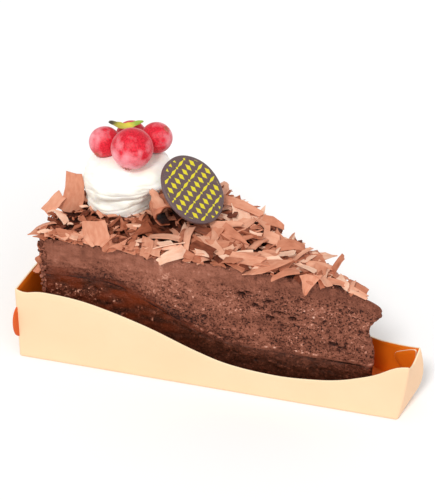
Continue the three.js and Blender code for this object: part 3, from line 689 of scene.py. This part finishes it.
def berry_finish(name, deep, bright, rime, brown):
    """Frosted skin: red, paler where the frost lies in soft patches, brown at the withered flower
    end, with a velvety sheen."""
    made, tree, shader = new_material(name, Roughness=0.45, Specular_IOR_Level=0.3, Sheen_Weight=0.3,
                                      Sheen_Roughness=0.35, Sheen_Tint=(1, 0.82, 0.84, 1))
    grains = add_grain(tree, 0.25, 1.6)
    skin = ramp(tree, grains.outputs["Fine"], [(0.35, deep), (0.62, bright)])
    centred = maths(tree, "ADD", grains.outputs["Coarse"], -0.55)
    cover = maths(tree, "MULTIPLY_ADD", centred, 1.5, mask_of(tree, "frost"))
    frosted = laid_over(tree, stretched(tree, cover, 0.1, 0.9, 0.0, 0.85), skin, rime)
    ended = laid_over(tree, mask_of(tree, "withered"), frosted, brown)
    dress(tree, shader, ended, grains.outputs["Fine"], 0.06)
    return made


frosted_red = berry_finish("frosted_red", shade(190, 10, 34), shade(226, 30, 52), shade(252, 172, 180),
                           shade(168, 96, 74))
# The directions of each berry's flower end and of its frost.
BERRY_SIDES = {
    "berry_front": ((0.18, -0.74, -0.65), (-0.1, -0.55, -0.8)),
    "berry_left": ((0.04, -0.91, -0.41), (-0.85, -0.05, 0.0)),
    "berry_right": ((0.6, 0.2, 0.7), (0.5, 0.9, -0.2)),
    "berry_back": ((-0.3, 0.8, 0.4), (-0.2, 0.9, -0.4))}
for seed, (name, (at, size)) in enumerate(BERRIES.items(), 51):
    skin, masks = berry_skin(at, size, *BERRY_SIDES[name], seed)
    quads = ring_quads(*skin.shape[:2])[:, ::-1]
    berry = piece(f"{name}_skin", skin, [frosted_red], quads, masks=masks, sharp=180)
    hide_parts(name)

# ---------------------------------------------------------------------------------- leaf
# A narrow leaf from the berries' sprig, folded along its middle, yellow-green and withered
# dark at its tip. It lies across the berries.
LEAF_SPINE = [(-59.1, -2.3, 84.2), (-52.0, -2.6, 82.9), (-48.7, 5.6, 83.6)]


def both_faces(count):
    """The columns of a thin sheet: v goes from -1 to 1 over its front and back again over its
    rear, and the face is 1 or -1."""
    v = np.r_[np.linspace(-1, 1, count), np.linspace(1, -1, count)]
    return v[None], np.repeat([1.0, -1.0], count)[None]


def leaf_sheet():
    """A thin closed sheet in rows along a quadratic curve through three points. Across it the
    half width is a power of a sine, and it folds up to both sides of its middle."""
    u = np.linspace(0, 1, 41)[:, None]
    v, face = both_faces(13)
    a, b, c = (np.array(p) for p in LEAF_SPINE)
    spine = a * (1 - u) ** 2 + 2 * b * u * (1 - u) + c * u**2
    along = 2 * (b - a) * (1 - u) + 2 * (c - b) * u
    across = unit(triples(-along[:, 1], along[:, 0], 0))
    half = 0.35 + 1.7 * np.sin(np.pi * u) ** 0.8
    lift = 0.5 * np.abs(v) + 0.25 * np.sin(9 * u) + 0.12 * np.sin(23 * u) * v
    lift = lift + 0.22 * face * (1 - 0.6 * v**2)
    points = spine[:, None] + across[:, None] * (half * v)[..., None]
    points[..., 2] += lift
    return points, u + 0 * v


def leaf_finish():
    """Leaf: a colour for each stage along it, from the dark withered tip to green, and fine veins."""
    made, tree, shader = new_material("leaf_green", Roughness=0.5)
    veins = add_grain(tree, 0.5, 2.0)
    stage = maths(tree, "MULTIPLY_ADD", veins.outputs["Coarse"], 0.25, mask_of(tree, "along"))
    tint = ramp(tree, stage, [(0.22, shade(70, 62, 40)), (0.42, shade(186, 176, 60)),
                              (0.75, shade(222, 206, 70)), (0.95, shade(150, 176, 62))])
    dress(tree, shader, tint, veins.outputs["Fine"], 0.1)
    return made


leaf_points, leaf_along = leaf_sheet()
ends = np.stack([leaf_points[[0, -1]].mean(axis=1)] * leaf_points.shape[1], 1)
leaf_points = np.concatenate([ends[:1], leaf_points, ends[1:]])
leaf_along = np.pad(leaf_along, ((1, 1), (0, 0)), mode="edge")
leaf = piece("sprig_leaf", leaf_points, [leaf_finish()], masks={"along": leaf_along}, sharp=60)
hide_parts("leaf_sprig")

# ---------------------------------------------------------------------------------- disc
# A disc of dark chocolate, cast flat in a mould on a printed transfer sheet, which leaves
# rows of gold lozenges and bars on its smooth face. It leans back on the cream.
def facing_frame(normal):
    """Two unit directions in a plane: level, and up the slope."""
    level = unit(np.cross([0, 0, 1.0], normal))
    return level, np.cross(normal, level)


def disc_body():
    """A profile turned about the disc's own axis: flat faces and a small round edge. Columns go
    round it and rows from the middle of its back to the middle of its face."""
    rounding = [(12, 0), (DISC_RADIUS - 0.25, 0.02), (DISC_RADIUS - 0.07, 0.15), (DISC_RADIUS, 0.35)]
    half = [(0, 0), (6, 0), *rounding]
    rows = [(r, d - DISC_THICK) for r, d in half] + [(r, -d) for r, d in half[::-1]]
    radius, depth = np.array(rows).T[..., None]
    around = full_turn(128)[None]
    uneven_edge = 1 + 0.004 * np.sin(3 * around + 1) + 0.003 * np.sin(7 * around)
    x, y = radius * np.cos(around) * uneven_edge, radius * np.sin(around) * uneven_edge
    own = triples(x, y, depth)
    return DISC_AT + own @ np.stack([*facing_frame(DISC_NORMAL), DISC_NORMAL]), own


def transfer_finish():
    """Dark chocolate with a gold transfer print: in the disc's own millimetres, turned to slanting
    rows, a lozenge is where the sum of the two distances to a cell's middle is small."""
    made, tree, shader = new_material("printed_dark_chocolate", Roughness=0.38)
    own = mask_of(tree, "own_mm", "Vector")
    turned = add_node(tree, "ShaderNodeMapping", {"Vector": own, "Rotation": (0, 0, np.radians(-7))})
    parts = add_node(tree, "ShaderNodeSeparateXYZ", {0: turned.outputs[0]})

    def lozenges(wide, high, shift_x, shift_y, across, up):
        """A mask of lozenges, one per cell of the given size, each of the given half sizes."""
        share = []
        for axis, cell, shift, half in (("X", wide, shift_x, across), ("Y", high, shift_y, up)):
            placed = maths(tree, "ADD", parts.outputs[axis], shift)
            share.append(maths(tree, "DIVIDE", maths(tree, "PINGPONG", placed, cell), half))
        return maths(tree, "LESS_THAN", maths(tree, "ADD", *share), 1.0)

    large = lozenges(1.5, 3.3, 0.0, 0.0, 1.05, 1.75)
    small = lozenges(3.0, 3.3, 1.5, 3.3, 2.6, 0.62)
    dots = lozenges(3.0, 3.3, 4.5, 3.3, 0.62, 0.62)
    printed = maths(tree, "MAXIMUM", maths(tree, "MAXIMUM", large, small), dots)
    own_depth = add_node(tree, "ShaderNodeSeparateXYZ", {0: own}).outputs["Z"]
    gold = maths(tree, "MULTIPLY", printed, maths(tree, "GREATER_THAN", own_depth, -0.01))
    bloom = add_grain(tree, 0.15, 2.2)
    dark = ramp(tree, bloom.outputs["Fine"], [(0.3, shade(88, 66, 66)), (0.7, shade(110, 88, 88))])
    printed_dark = laid_over(tree, gold, dark, shade(224, 208, 34))
    dress(tree, shader, printed_dark, bloom.outputs["Fine"], 0.03)
    return made


disc_points, disc_own = disc_body()
disc = piece("printed_disc", disc_points, [transfer_finish()], masks={"own_mm": disc_own}, sharp=50)
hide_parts("chocolate_disc")

# ---------------------------------------------------------------------------------- curl
# Milk chocolate scraped off a slab with a knife, so that it rolls up on itself into an open
# tube with torn ends. It lies in front of the cream with its mouth to the tip.
CURL_MOUTH = np.array([-24.7, -14.1, 60.4])
CURL_FACING = np.array([0.75, -0.66, 0])


def curl_sheet():
    """A sheet rolled into a flattened tube: its two half widths shrink a little on the way round,
    and its ends are ragged. Columns run over both faces; rows go along the roll."""
    u = np.r_[np.linspace(0, 1, 61), np.linspace(1, 0, 61)][None]
    inner = np.r_[np.zeros(61), np.ones(61)][None]
    v = np.linspace(0, 1, 25)[:, None]
    torn = cloud(triples(9 * u, 4 * v, inner), 61)
    radius = -0.8 * u - 0.85 * inner + 0.12 * torn
    angle = np.radians(-50 + 325 * u)
    long = 8.5 + 1.2 * np.sin(5 * u) + 0.5 * np.sin(23 * u)
    start = 0.5 * np.sin(19 * u) * (1 - v) + 0.35 * np.sin(41 * u + 1) * (1 - v)
    out = unit(CURL_FACING)
    side = np.cross([0, 0, 1.0], out)
    lift = np.cross(out, side)
    depth = long * v + start
    level, rise = (6.0 + radius) * np.cos(angle), (4.6 + radius) * np.sin(angle)
    points = CURL_MOUTH + level[..., None] * side + rise[..., None] * lift - depth[..., None] * out
    return points, inner + 0 * v


def tongue_sheet():
    """The curl's loose end: a thin tongue that stands up from its top and narrows to a torn end.
    Columns run over both faces and rows go up it."""
    u = np.linspace(0, 1, 25)[:, None]
    v, face = both_faces(15)
    foot, tip = np.array([-27.4, -14.9, 63.4]), np.array([-30.2, -16.6, 72.0])
    across = np.array([0.83, 0.55, 0.0])
    front = np.cross(across, unit(tip - foot))
    half = 2.9 - 1.7 * u**0.8 + 0.2 * np.sin(17 * u) * np.abs(v)
    along = u + 0.05 * u**3 * np.sin(4 * v + 1)
    lift = 1.4 * u * (1 - u) - 0.35 * v**2 + 0.22 * face * (1 - 0.5 * v**2)
    rising = foot + along[..., None] * (tip - foot)
    return rising + (half * v)[..., None] * across + lift[..., None] * front


def milk_finish(name, stops):
    """Shaved milk chocolate: each shaving's tone, its own colour with painted shade laid in, and streaks
    along it from the blade.
    """
    made, tree, shader = new_material(name, Roughness=0.6, Specular_IOR_Level=0.2)
    own = mask_of(tree, "own_mm", "Vector")
    drawn_out = add_node(tree, "ShaderNodeMapping", {"Vector": own, "Scale": (0.0004, 0.0009, 0.001)})
    streaks = add_grain(tree, 0.8, 3.0, drawn_out.outputs[0])
    centred = maths(tree, "SUBTRACT", streaks.outputs["Coarse"], 0.5)
    mixed = maths(tree, "MULTIPLY_ADD", centred, 0.32, mask_of(tree, "tone"))
    dress(tree, shader, ramp(tree, mixed, stops), streaks.outputs["Coarse"], 0.12)
    return made


milk_chocolate = milk_finish("shaved_milk_chocolate", [
    (0.0, shade(44, 16, 9)), (0.12, shade(98, 44, 25)), (0.35, shade(162, 91, 63)),
    (0.58, shade(206, 136, 106)), (0.8, shade(230, 172, 142)), (1.0, shade(244, 208, 182))])


def closed_sheet(points, first=0):
    """Quads of a two-faced sheet whose columns run over one face and back over the other, with
    both ends closed. Numbers start at first."""
    rows, columns = points.shape[:2]
    quads = ring_quads(rows, columns)
    grid = np.arange(rows * columns).reshape(rows, columns)
    for row, order in ((0, 1), (-1, -1)):
        outer, inner = grid[row, :columns // 2], grid[row, columns // 2:][::-1]
        cap = np.stack([outer[:-1], inner[:-1], inner[1:], outer[1:]], -1)
        quads = np.concatenate([quads, cap[:, ::order]])
    return quads + first


def own_lengths(points, spacing=0.4):
    """Lengths along and across a sheet, as if its rows and columns were evenly spaced."""
    rows, columns = points.shape[:2]
    return spacing * triples(np.arange(rows)[:, None], np.arange(columns)[None], 0).reshape(-1, 3)


curl_points, curl_inside = curl_sheet()
tongue_points = tongue_sheet()
# The inner face of the curl is toned down to the ramp's near-black end: painted shade of the hollow.
curl_tone = 0.5 + 0.1 * cloud(curl_points / 3, 62) - 0.75 * curl_inside
tongue_tone = 0.72 + 0.08 * cloud(tongue_points / 2, 63)
curl_quads = closed_sheet(curl_points)
tongue_quads = closed_sheet(tongue_points, curl_points[..., 0].size)
both_points = np.concatenate([curl_points.reshape(-1, 3), tongue_points.reshape(-1, 3)])
both_tones = np.clip(np.r_[curl_tone.ravel(), tongue_tone.ravel()], 0, 1)
both_own = np.concatenate([own_lengths(curl_points), own_lengths(tongue_points)])
curl = piece("milk_curl", both_points, [milk_chocolate], np.concatenate([curl_quads, tongue_quads]),
             masks={"tone": both_tones, "own_mm": both_own}, sharp=50)
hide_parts("chocolate_curl")

# -------------------------------------------------------------------------------- flakes
# Shavings of the same chocolate, heaped by hand over the whole top. They break into curved,
# torn-edged plates: small ones below, larger ones tipped on top and hanging over the cut.
FLAKES_DRAWN = 1480
# Each large flake: where it starts and ends, as distance from the apex, share across and lift,
# and then its width, roll in degrees, bow, taper and tone.
LARGE_FLAKES = [
    ((125.3, 0.258, 0.8), (124.5, 0.315, 15.4), 9.6, 34, 0.6, 0.62, 0.6),
    ((133.3, 0.197, 1.4), (127.6, 0.263, 7.2), 4.6, 50, 0.6, 0.9, 0.66),
    ((108, 0.0, 0.4), (109, 0.12, 6), 10.5, -5, 0.3, 0.85, 0.62),
    ((114, 0.07, 3), (107, -0.02, 0.6), 2.6, 20, 0.6, 0.5, 0.7),
    ((105, 0.0, 0.8), (101, 0.1, 3), 3, 0, 0.6, 0.5, 0.6),
    ((90.2, 0.163, 2.5), (75.5, 0.197, 2.5), 5, -10, 1.2, 0.5, 0.74),
    ((76, 0.35, 4.5), (73, 0.08, 2.4), 3.6, 10, 0.6, 0.5, 0.72),
    ((73, 0.09, 2.8), (81, -0.08, -0.4), 7.6, -12, 1.0, 0.3, 0.88),
    ((70, 0.33, 3), (62, 0.01, 1), 5, -15, 0.6, 0.5, 0.75),
    ((65, 0.24, 3), (56, 0.01, 1), 4.5, 15, 0.6, 0.5, 0.75),
    ((48, 0.31, 3), (40, 0.28, 2.6), 4.5, 15, 0.6, 0.5, 0.7),
    ((52, 0.38, 3), (50, 0.67, 4), 4.5, -20, 0.6, 0.5, 0.62),
    ((30, 0.1, 3), (39, -0.14, 1), 5, 0, 1.0, 0.3, 0.55),
    ((26, 0.05, 2.4), (25, -0.2, -4), 8, 0, 0.6, 0.12, 0.62),
    ((37, 0.05, 2), (34, 0.4, 4), 4, 20, 0.6, 0.5, 0.45),
    ((35, 0.5, 2.4), (34, 0.95, 5.5), 3, -20, 0.6, 0.5, 0.78),
    ((30, 0.5, 2.5), (22, 0.95, 3), 5, 15, 0.6, 0.5, 0.68),
    ((22, 0.8, 0.5), (20, 1.15, 9), 3.8, 0, 0.6, 0.8, 0.5),
    ((80, 0.85, 6), (62, 0.95, 5), 5, 25, 1.8, 0.5, 0.6),
    ((60, 0.92, 4), (51, 1.0, 4), 6, 20, 0.6, 0.3, 0.55),
    ((45, 0.66, 3), (37, 0.95, 3.5), 6, 20, 1.2, 0.5, 0.5),
    ((71, 0.49, 4), (62, 0.68, 4), 4.5, 15, 0.6, 0.5, 0.7),
    ((19, 0.1, 2), (12, 0.2, 2), 4, 0, 0.6, 0.5, 0.6),
    ((15, 0.95, 2.6), (6.5, 1.25, 2.8), 4, 0, 0.6, 0.6, 0.45),
    ((12, 0.3, 1.8), (4, 0.4, 1.2), 3.4, 10, 0.6, 0.6, 0.68),
    ((10, 0.02, 1.0), (3.4, 0.1, 0.7), 2.4, 0, 0.4, 0.5, 0.8),
    ((133, 0.05, 0), (126, 0.02, 0.8), 4.5, 10, 0.6, 0.5, 0.6),
    ((131, 0.04, 2), (125, 0.1, 3), 4, -25, 0.6, 0.5, 0.65),
    ((98, 0.01, 1.4), (91, -0.02, 0.4), 3, 15, 0.6, 0.5, 0.55),
    ((128, 0.55, 1.5), (118, 0.7, 3), 7, 20, 1.2, 0.5, 0.55),
    ((112, 0.82, 2), (124, 0.88, 3), 6, -20, 0.6, 0.5, 0.6),
    ((98, 0.8, 3), (86, 0.86, 2.5), 6.5, 12, 1.4, 0.5, 0.6),
    ((129.6, 0.0, -3.5), (129.2, 0.012, -9.5), 3.2, 40, 0.5, 0.5, 0.4),
    ((130.4, 0.0, -9.5), (129.0, 0.0, -12.5), 3.0, 10, 0.4, 0.7, 0.5),
    ((131.2, 0.003, -14.5), (129, 0.0, -15.5), 3.4, 30, 0.4, 0.7, 0.55),
]


def over_top(place):
    """Points over the cake's top, from arrays of distance, share across and lift."""
    r, across, lift = np.moveaxis(np.asarray(place, float), -1, 0)
    return cake_point(r, across, top_height(r, np.clip(across, 0, 1)) + lift)


def scattered(draw, count):
    """Starts, ends, widths, rolls, bows, tapers, layers and darkest tones of the smaller flakes.
    They follow an even two-way sequence over the wedge, longer towards the tip, and tip up more in
    the upper layers; a fifth of them lies along the two cut edges and the rim. Near the rim the
    heap keeps off the far edge, and it is thin behind the cream."""
    k = np.arange(count)
    r = RADIUS * (0.002 + 0.996 * ((k * 0.7548776662) % 1)) ** 0.43
    across = 0.01 + 0.98 * ((k * 0.5698402910) % 1)
    edge = draw.random(count)
    across = np.where(edge < 0.12, draw.uniform(-0.9, 2.0, count) / r, across)
    across = np.where((edge >= 0.12) & (edge < 0.2), 1 - draw.uniform(-1.2, 2.0, count) / r, across)
    r = np.where(edge > 0.95, RADIUS - draw.uniform(-1.5, 1.0, count), r)
    layer = (k * 0.618034) % 1
    across = np.where(r > 105, np.minimum(across, 0.93), across)
    thin = ease(across, 0.8, 0.95) * ease(r, 95, 112)
    middle = over_top(triples(r, across, 0.3 + (2.9 - 2.2 * thin) * layer))
    reach = (3.0 + 5 * (1 - r / RADIUS)) * np.exp(0.4 * draw.standard_normal(count)) * (0.7 + 0.6 * layer)
    reach = np.clip(reach, 1.5, 12) * (0.5 + 0.5 * ease(r, 5, 25))
    heading = draw.uniform(0, 2 * np.pi, count)
    pitch = 0.04 + 0.14 * layer
    way = triples(np.cos(heading), np.sin(heading), pitch * draw.standard_normal(count))
    half = way * reach[:, None] / 2
    width = reach * draw.uniform(0.3, 0.68, count)
    roll = (6 + 14 * layer) * draw.standard_normal(count)
    taper = np.where(draw.random(count) < 0.25, 0.12, draw.uniform(0.55, 1.1, count))
    lowest = np.where(across < 0.01, 0.45, 0.14)
    return middle - half, middle + half, width, roll, draw.uniform(-0.2, 0.7, count), taper, layer, lowest


def flake_plates(start, end, width, roll, bow, taper, cut, draw):
    """Closed thin plates, one per entry. On each, u runs along and v across. The half width
    tapers, the ends are cut on a slant, all edges are a little torn, and the plate is lifted
    along its normal by bow times (4u(1-u) - 0.5) plus a twist. Its two faces are offset to both
    sides, thinner at the edges. Gives points, quads, and each point's lengths along and across."""
    count, nu, nv = len(width), 6, 4
    along = end - start
    length = np.linalg.norm(along, axis=-1, keepdims=True)
    way = along / length
    flat = triples(-way[:, 1], way[:, 0], 0)
    flat = flat / np.maximum(np.linalg.norm(flat, axis=-1, keepdims=True), 1e-6)
    turned = np.radians(roll)[:, None]
    across = flat * np.cos(turned) + np.cross(way, flat) * np.sin(turned)
    normal = np.cross(way, across)
    u = np.linspace(0, 1, nu)[None, :, None]
    v = np.linspace(-1, 1, nv)[None, None, :]
    torn = draw.uniform(-0.09, 0.09, (count, nu, 2))
    torn = np.where(v < 0, torn[..., :1], torn[..., 1:])
    wide, taper, bow = (value[:, None, None] for value in (width, taper, bow))
    half = wide / 2 * (1 + (taper - 1) * u) * (1 + torn)
    jag = draw.uniform(-0.05, 0.05, (count, 2, nv))
    slant = draw.uniform(-0.9, 0.9, (count, 2, 1)) * v * (cut * width / length[:, 0])[:, None, None]
    slide = u + (1 - u) ** 2 * (jag[:, :1] + slant[:, :1] / 2) + u**2 * (jag[:, 1:] + slant[:, 1:] / 2)
    skew = 0.12 * wide * np.sin(3 * u + wide)
    cupped = draw.uniform(-0.06, 0.16, (count, 1, 1)) * wide * v**2
    twist = draw.uniform(-0.08, 0.08, (count, 1, 1)) * wide * (2 * u - 1) * v
    lift = bow * (4 * u * (1 - u) - 0.5) + cupped + twist
    middle = start[:, None, None] + along[:, None, None] * slide[..., None]
    middle = middle + across[:, None, None] * (half * v + skew)[..., None]
    middle = middle + normal[:, None, None] * lift[..., None]
    edge = np.maximum(np.abs(2 * u - 1), np.abs(v)) ** 4
    thick = draw.uniform(0.22, 0.42, (count, 1, 1)) * (1 - 0.45 * edge)
    offset = normal[:, None, None] * thick[..., None]
    points = np.stack([middle + offset, middle - offset], 1)
    lengths = triples(length[..., None] * slide, half * v, 10.0 * np.arange(count)[:, None, None])
    grid = np.arange(nu * nv).reshape(nu, nv)
    top = np.stack([grid[:-1, :-1], grid[1:, :-1], grid[1:, 1:], grid[:-1, 1:]], -1).reshape(-1, 4)
    rim = np.r_[grid[0, :], grid[1:, -1], grid[-1, -2::-1], grid[-2:0:-1, 0]]
    after = np.roll(rim, -1)
    wall = np.stack([rim, after, after + nu * nv, rim + nu * nv], -1)
    one = np.concatenate([top, top[:, ::-1] + nu * nv, wall])
    quads = (one[None] + (2 * nu * nv) * np.arange(count)[:, None, None]).reshape(-1, 4)
    return points, quads, np.stack([lengths, lengths], 1)


draw = np.random.default_rng(5)
small = scattered(draw, FLAKES_DRAWN)
starts, finishes = (over_top([row[k] for row in LARGE_FLAKES]) for k in (0, 1))
numbers = np.array([row[2:] for row in LARGE_FLAKES], float)
middles = (small[0] + small[1]) / 2
in_cream = np.hypot(middles[:, 0] - FOOT[0], middles[:, 1] - FOOT[1]) < 12.5
from_curl = middles - CURL_MOUTH
beyond = from_curl @ CURL_FACING
beside = np.abs(from_curl @ np.cross([0, 0, 1.0], CURL_FACING))
in_curl = (beside < 7) & (beyond > -11) & (beyond < 6) & (middles[:, 2] > 53.4 + 1.2 * (beyond > 0))
spans = finishes - starts
share = np.einsum("ijk,jk->ij", middles[:, None] - starts, spans) / (spans**2).sum(axis=-1)
nearest = starts + np.clip(share, 0, 1)[..., None] * spans
gap = np.linalg.norm(middles[:, None] - nearest, axis=-1)
covering = (gap < 0.5 * numbers[:, 0]).any(axis=1) & ((small[-2] > 0.3) | (small[-1] > 0.3))
keep = ~(in_cream | in_curl | covering)
*small, layer, lowest = [part[keep] for part in small]
parts = [np.concatenate([a, b]) for a, b in zip([starts, finishes, *numbers.T[:4]], small)]
cut = np.r_[np.zeros(len(numbers)), np.ones(len(layer))]
plate_points, plate_quads, plate_own = flake_plates(*parts, cut, draw)
from_apex = np.hypot(*(small[0][:, :2] - APEX).T)
# Lower layers are darker: painted shade under the upper flakes. The heap also darkens towards the rim,
# and the tones vary at random above each flake's floor.
small_tone = 0.46 - 0.35 * ease(from_apex, 30, 110) + 0.37 * layer
small_tone = np.clip(small_tone + 0.26 * draw.standard_normal(len(layer)), lowest, 0.9)
each = np.r_[numbers[:, 4], small_tone][:, None, None, None]
plate_tone = each + 0.05 * cloud(plate_points / 2.5, 71)
flakes = piece("flake_heap", plate_points, [milk_chocolate], plate_quads,
               masks={"tone": plate_tone, "own_mm": plate_own}, sharp=35)
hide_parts("chocolate_flakes")

# -------------------------------------------------------------------------------- crumbs
# Bits of cake and chocolate that broke off under the knife. Most stick in a ragged row to
# the rim's upright edge on the near side, some along the top's cut, a few on the tray's floor.
RIM_CRUMBS = 110
CUT_CRUMBS = 90
FALLEN_CRUMBS = 14


def crumb_lumps(middle, size, draw):
    """Closed small lumps, one per entry: spheres in rows from pole to pole, swollen by cloudy
    noise and stretched at random along each axis."""
    rows, columns = 7, 10
    polar = np.linspace(0, np.pi, rows)[:, None]
    way = sphere(polar, full_turn(columns)[None])
    apart = 10 * np.arange(len(size))[:, None, None, None]
    swell = 1 + 0.4 * cloud(way * 1.6 + apart, 81)
    stretch = draw.uniform(0.7, 1.3, (len(size), 1, 1, 3))
    points = middle[:, None, None] + size[:, None, None, None] * swell[..., None] * way * stretch
    quads = ring_quads(rows, columns)[:, ::-1] + rows * columns * np.arange(len(size))[:, None, None]
    return points, quads.reshape(-1, 4)


draw = np.random.default_rng(9)
from_rim = draw.uniform(-1.2, 0.5, RIM_CRUMBS)
across_rim = draw.uniform(-0.004, 0.02, RIM_CRUMBS)
on_rim = cake_point(RADIUS + from_rim, across_rim, draw.uniform(30, 53.5, RIM_CRUMBS))
cut_r = draw.uniform(4, 126, CUT_CRUMBS)
sunk = draw.uniform(-0.8, 1.5, CUT_CRUMBS) ** 2
on_cut = cake_point(cut_r, -0.1 / cut_r, top_height(cut_r, 0) - sunk)
floor_r = draw.uniform(20, 110, FALLEN_CRUMBS)
fallen = cake_point(floor_r, 1 + draw.uniform(0.02, 0.09, FALLEN_CRUMBS), CARD + 0.5)
crumb_size = [draw.uniform(low, high, count) for low, high, count in (
    (0.35, 1.1, RIM_CRUMBS), (0.25, 0.6, CUT_CRUMBS), (0.4, 0.8, FALLEN_CRUMBS))]
crumb_size = np.concatenate(crumb_size)
crumb_points, crumb_quads = crumb_lumps(np.concatenate([on_rim, on_cut, fallen]), crumb_size, draw)
none = 0 * crumb_points[..., 0]
crumb_tone = draw.uniform(0.2, 0.7, len(crumb_size))[:, None, None] + none
crumb_masks = {"tone": crumb_tone, "grit": none + 0.5, "smear": none, "wet": none}
crumbs = piece("loose_crumbs", crumb_points, [mousse_crumb], crumb_quads, masks=crumb_masks, sharp=60)

# ------------------------------------------------------------------ floor, light, camera
# A pale studio floor under one wide soft light nearly from the front, a weaker one from the
# right, and an even white surround.
FLOOR_HALF = 4
FLOOR_DROP = 0.0002
floor_mesh = bpy.data.meshes.new("studio_floor")
sides = ((-1, -1), (1, -1), (1, 1), (-1, 1))
floor_corners = [(FLOOR_HALF * x, FLOOR_HALF * y, -FLOOR_DROP) for x, y in sides]
floor_mesh.from_pydata(floor_corners, [], [(0, 1, 2, 3)])
floor_paper = new_material("floor_paper", Base_Color=(0.95, 0.945, 0.94, 1), Roughness=0.9)[0]
floor_mesh.materials.append(floor_paper)
floor = bpy.data.objects.new("studio_floor", floor_mesh)
bpy.context.scene.collection.objects.link(floor)

world = bpy.data.worlds.new("surround")
world.use_nodes = True
background = world.node_tree.nodes["Background"]
background.inputs["Color"].default_value = (1, 1, 1, 1)
background.inputs["Strength"].default_value = 0.62
bpy.context.scene.world = world
LAMPS = [("key", (0.14, -0.64, 0.75), 14, 1.7), ("fill", (0.71, -0.41, 0.57), 40, 0.5)]
for name, place, spread, power in LAMPS:
    lamp = bpy.data.lights.new(name, "SUN")
    lamp.angle, lamp.energy = np.radians(spread), power
    light = bpy.data.objects.new(name, lamp)
    light.location = place
    light.rotation_euler = (-Vector(place)).to_track_quat("-Z", "Y").to_euler()
    bpy.context.scene.collection.objects.link(light)

AZIMUTH, ELEVATION, DISTANCE = np.radians(32.05), np.radians(36.08), 0.72817
target = Vector((-0.01187, 0.0, 0.04107))
camera_data = bpy.data.cameras.new("camera")
camera_data.sensor_width = 36
camera_data.lens = 136.8
camera = bpy.data.objects.new("camera", camera_data)
level = np.cos(ELEVATION)
away = Vector((np.sin(AZIMUTH) * level, -np.cos(AZIMUTH) * level, np.sin(ELEVATION)))
camera.location = target + DISTANCE * away
camera.rotation_euler = away.to_track_quat("Z", "Y").to_euler()
bpy.context.scene.collection.objects.link(camera)
bpy.context.scene.camera = camera
bpy.context.scene.view_settings.view_transform = "Standard"
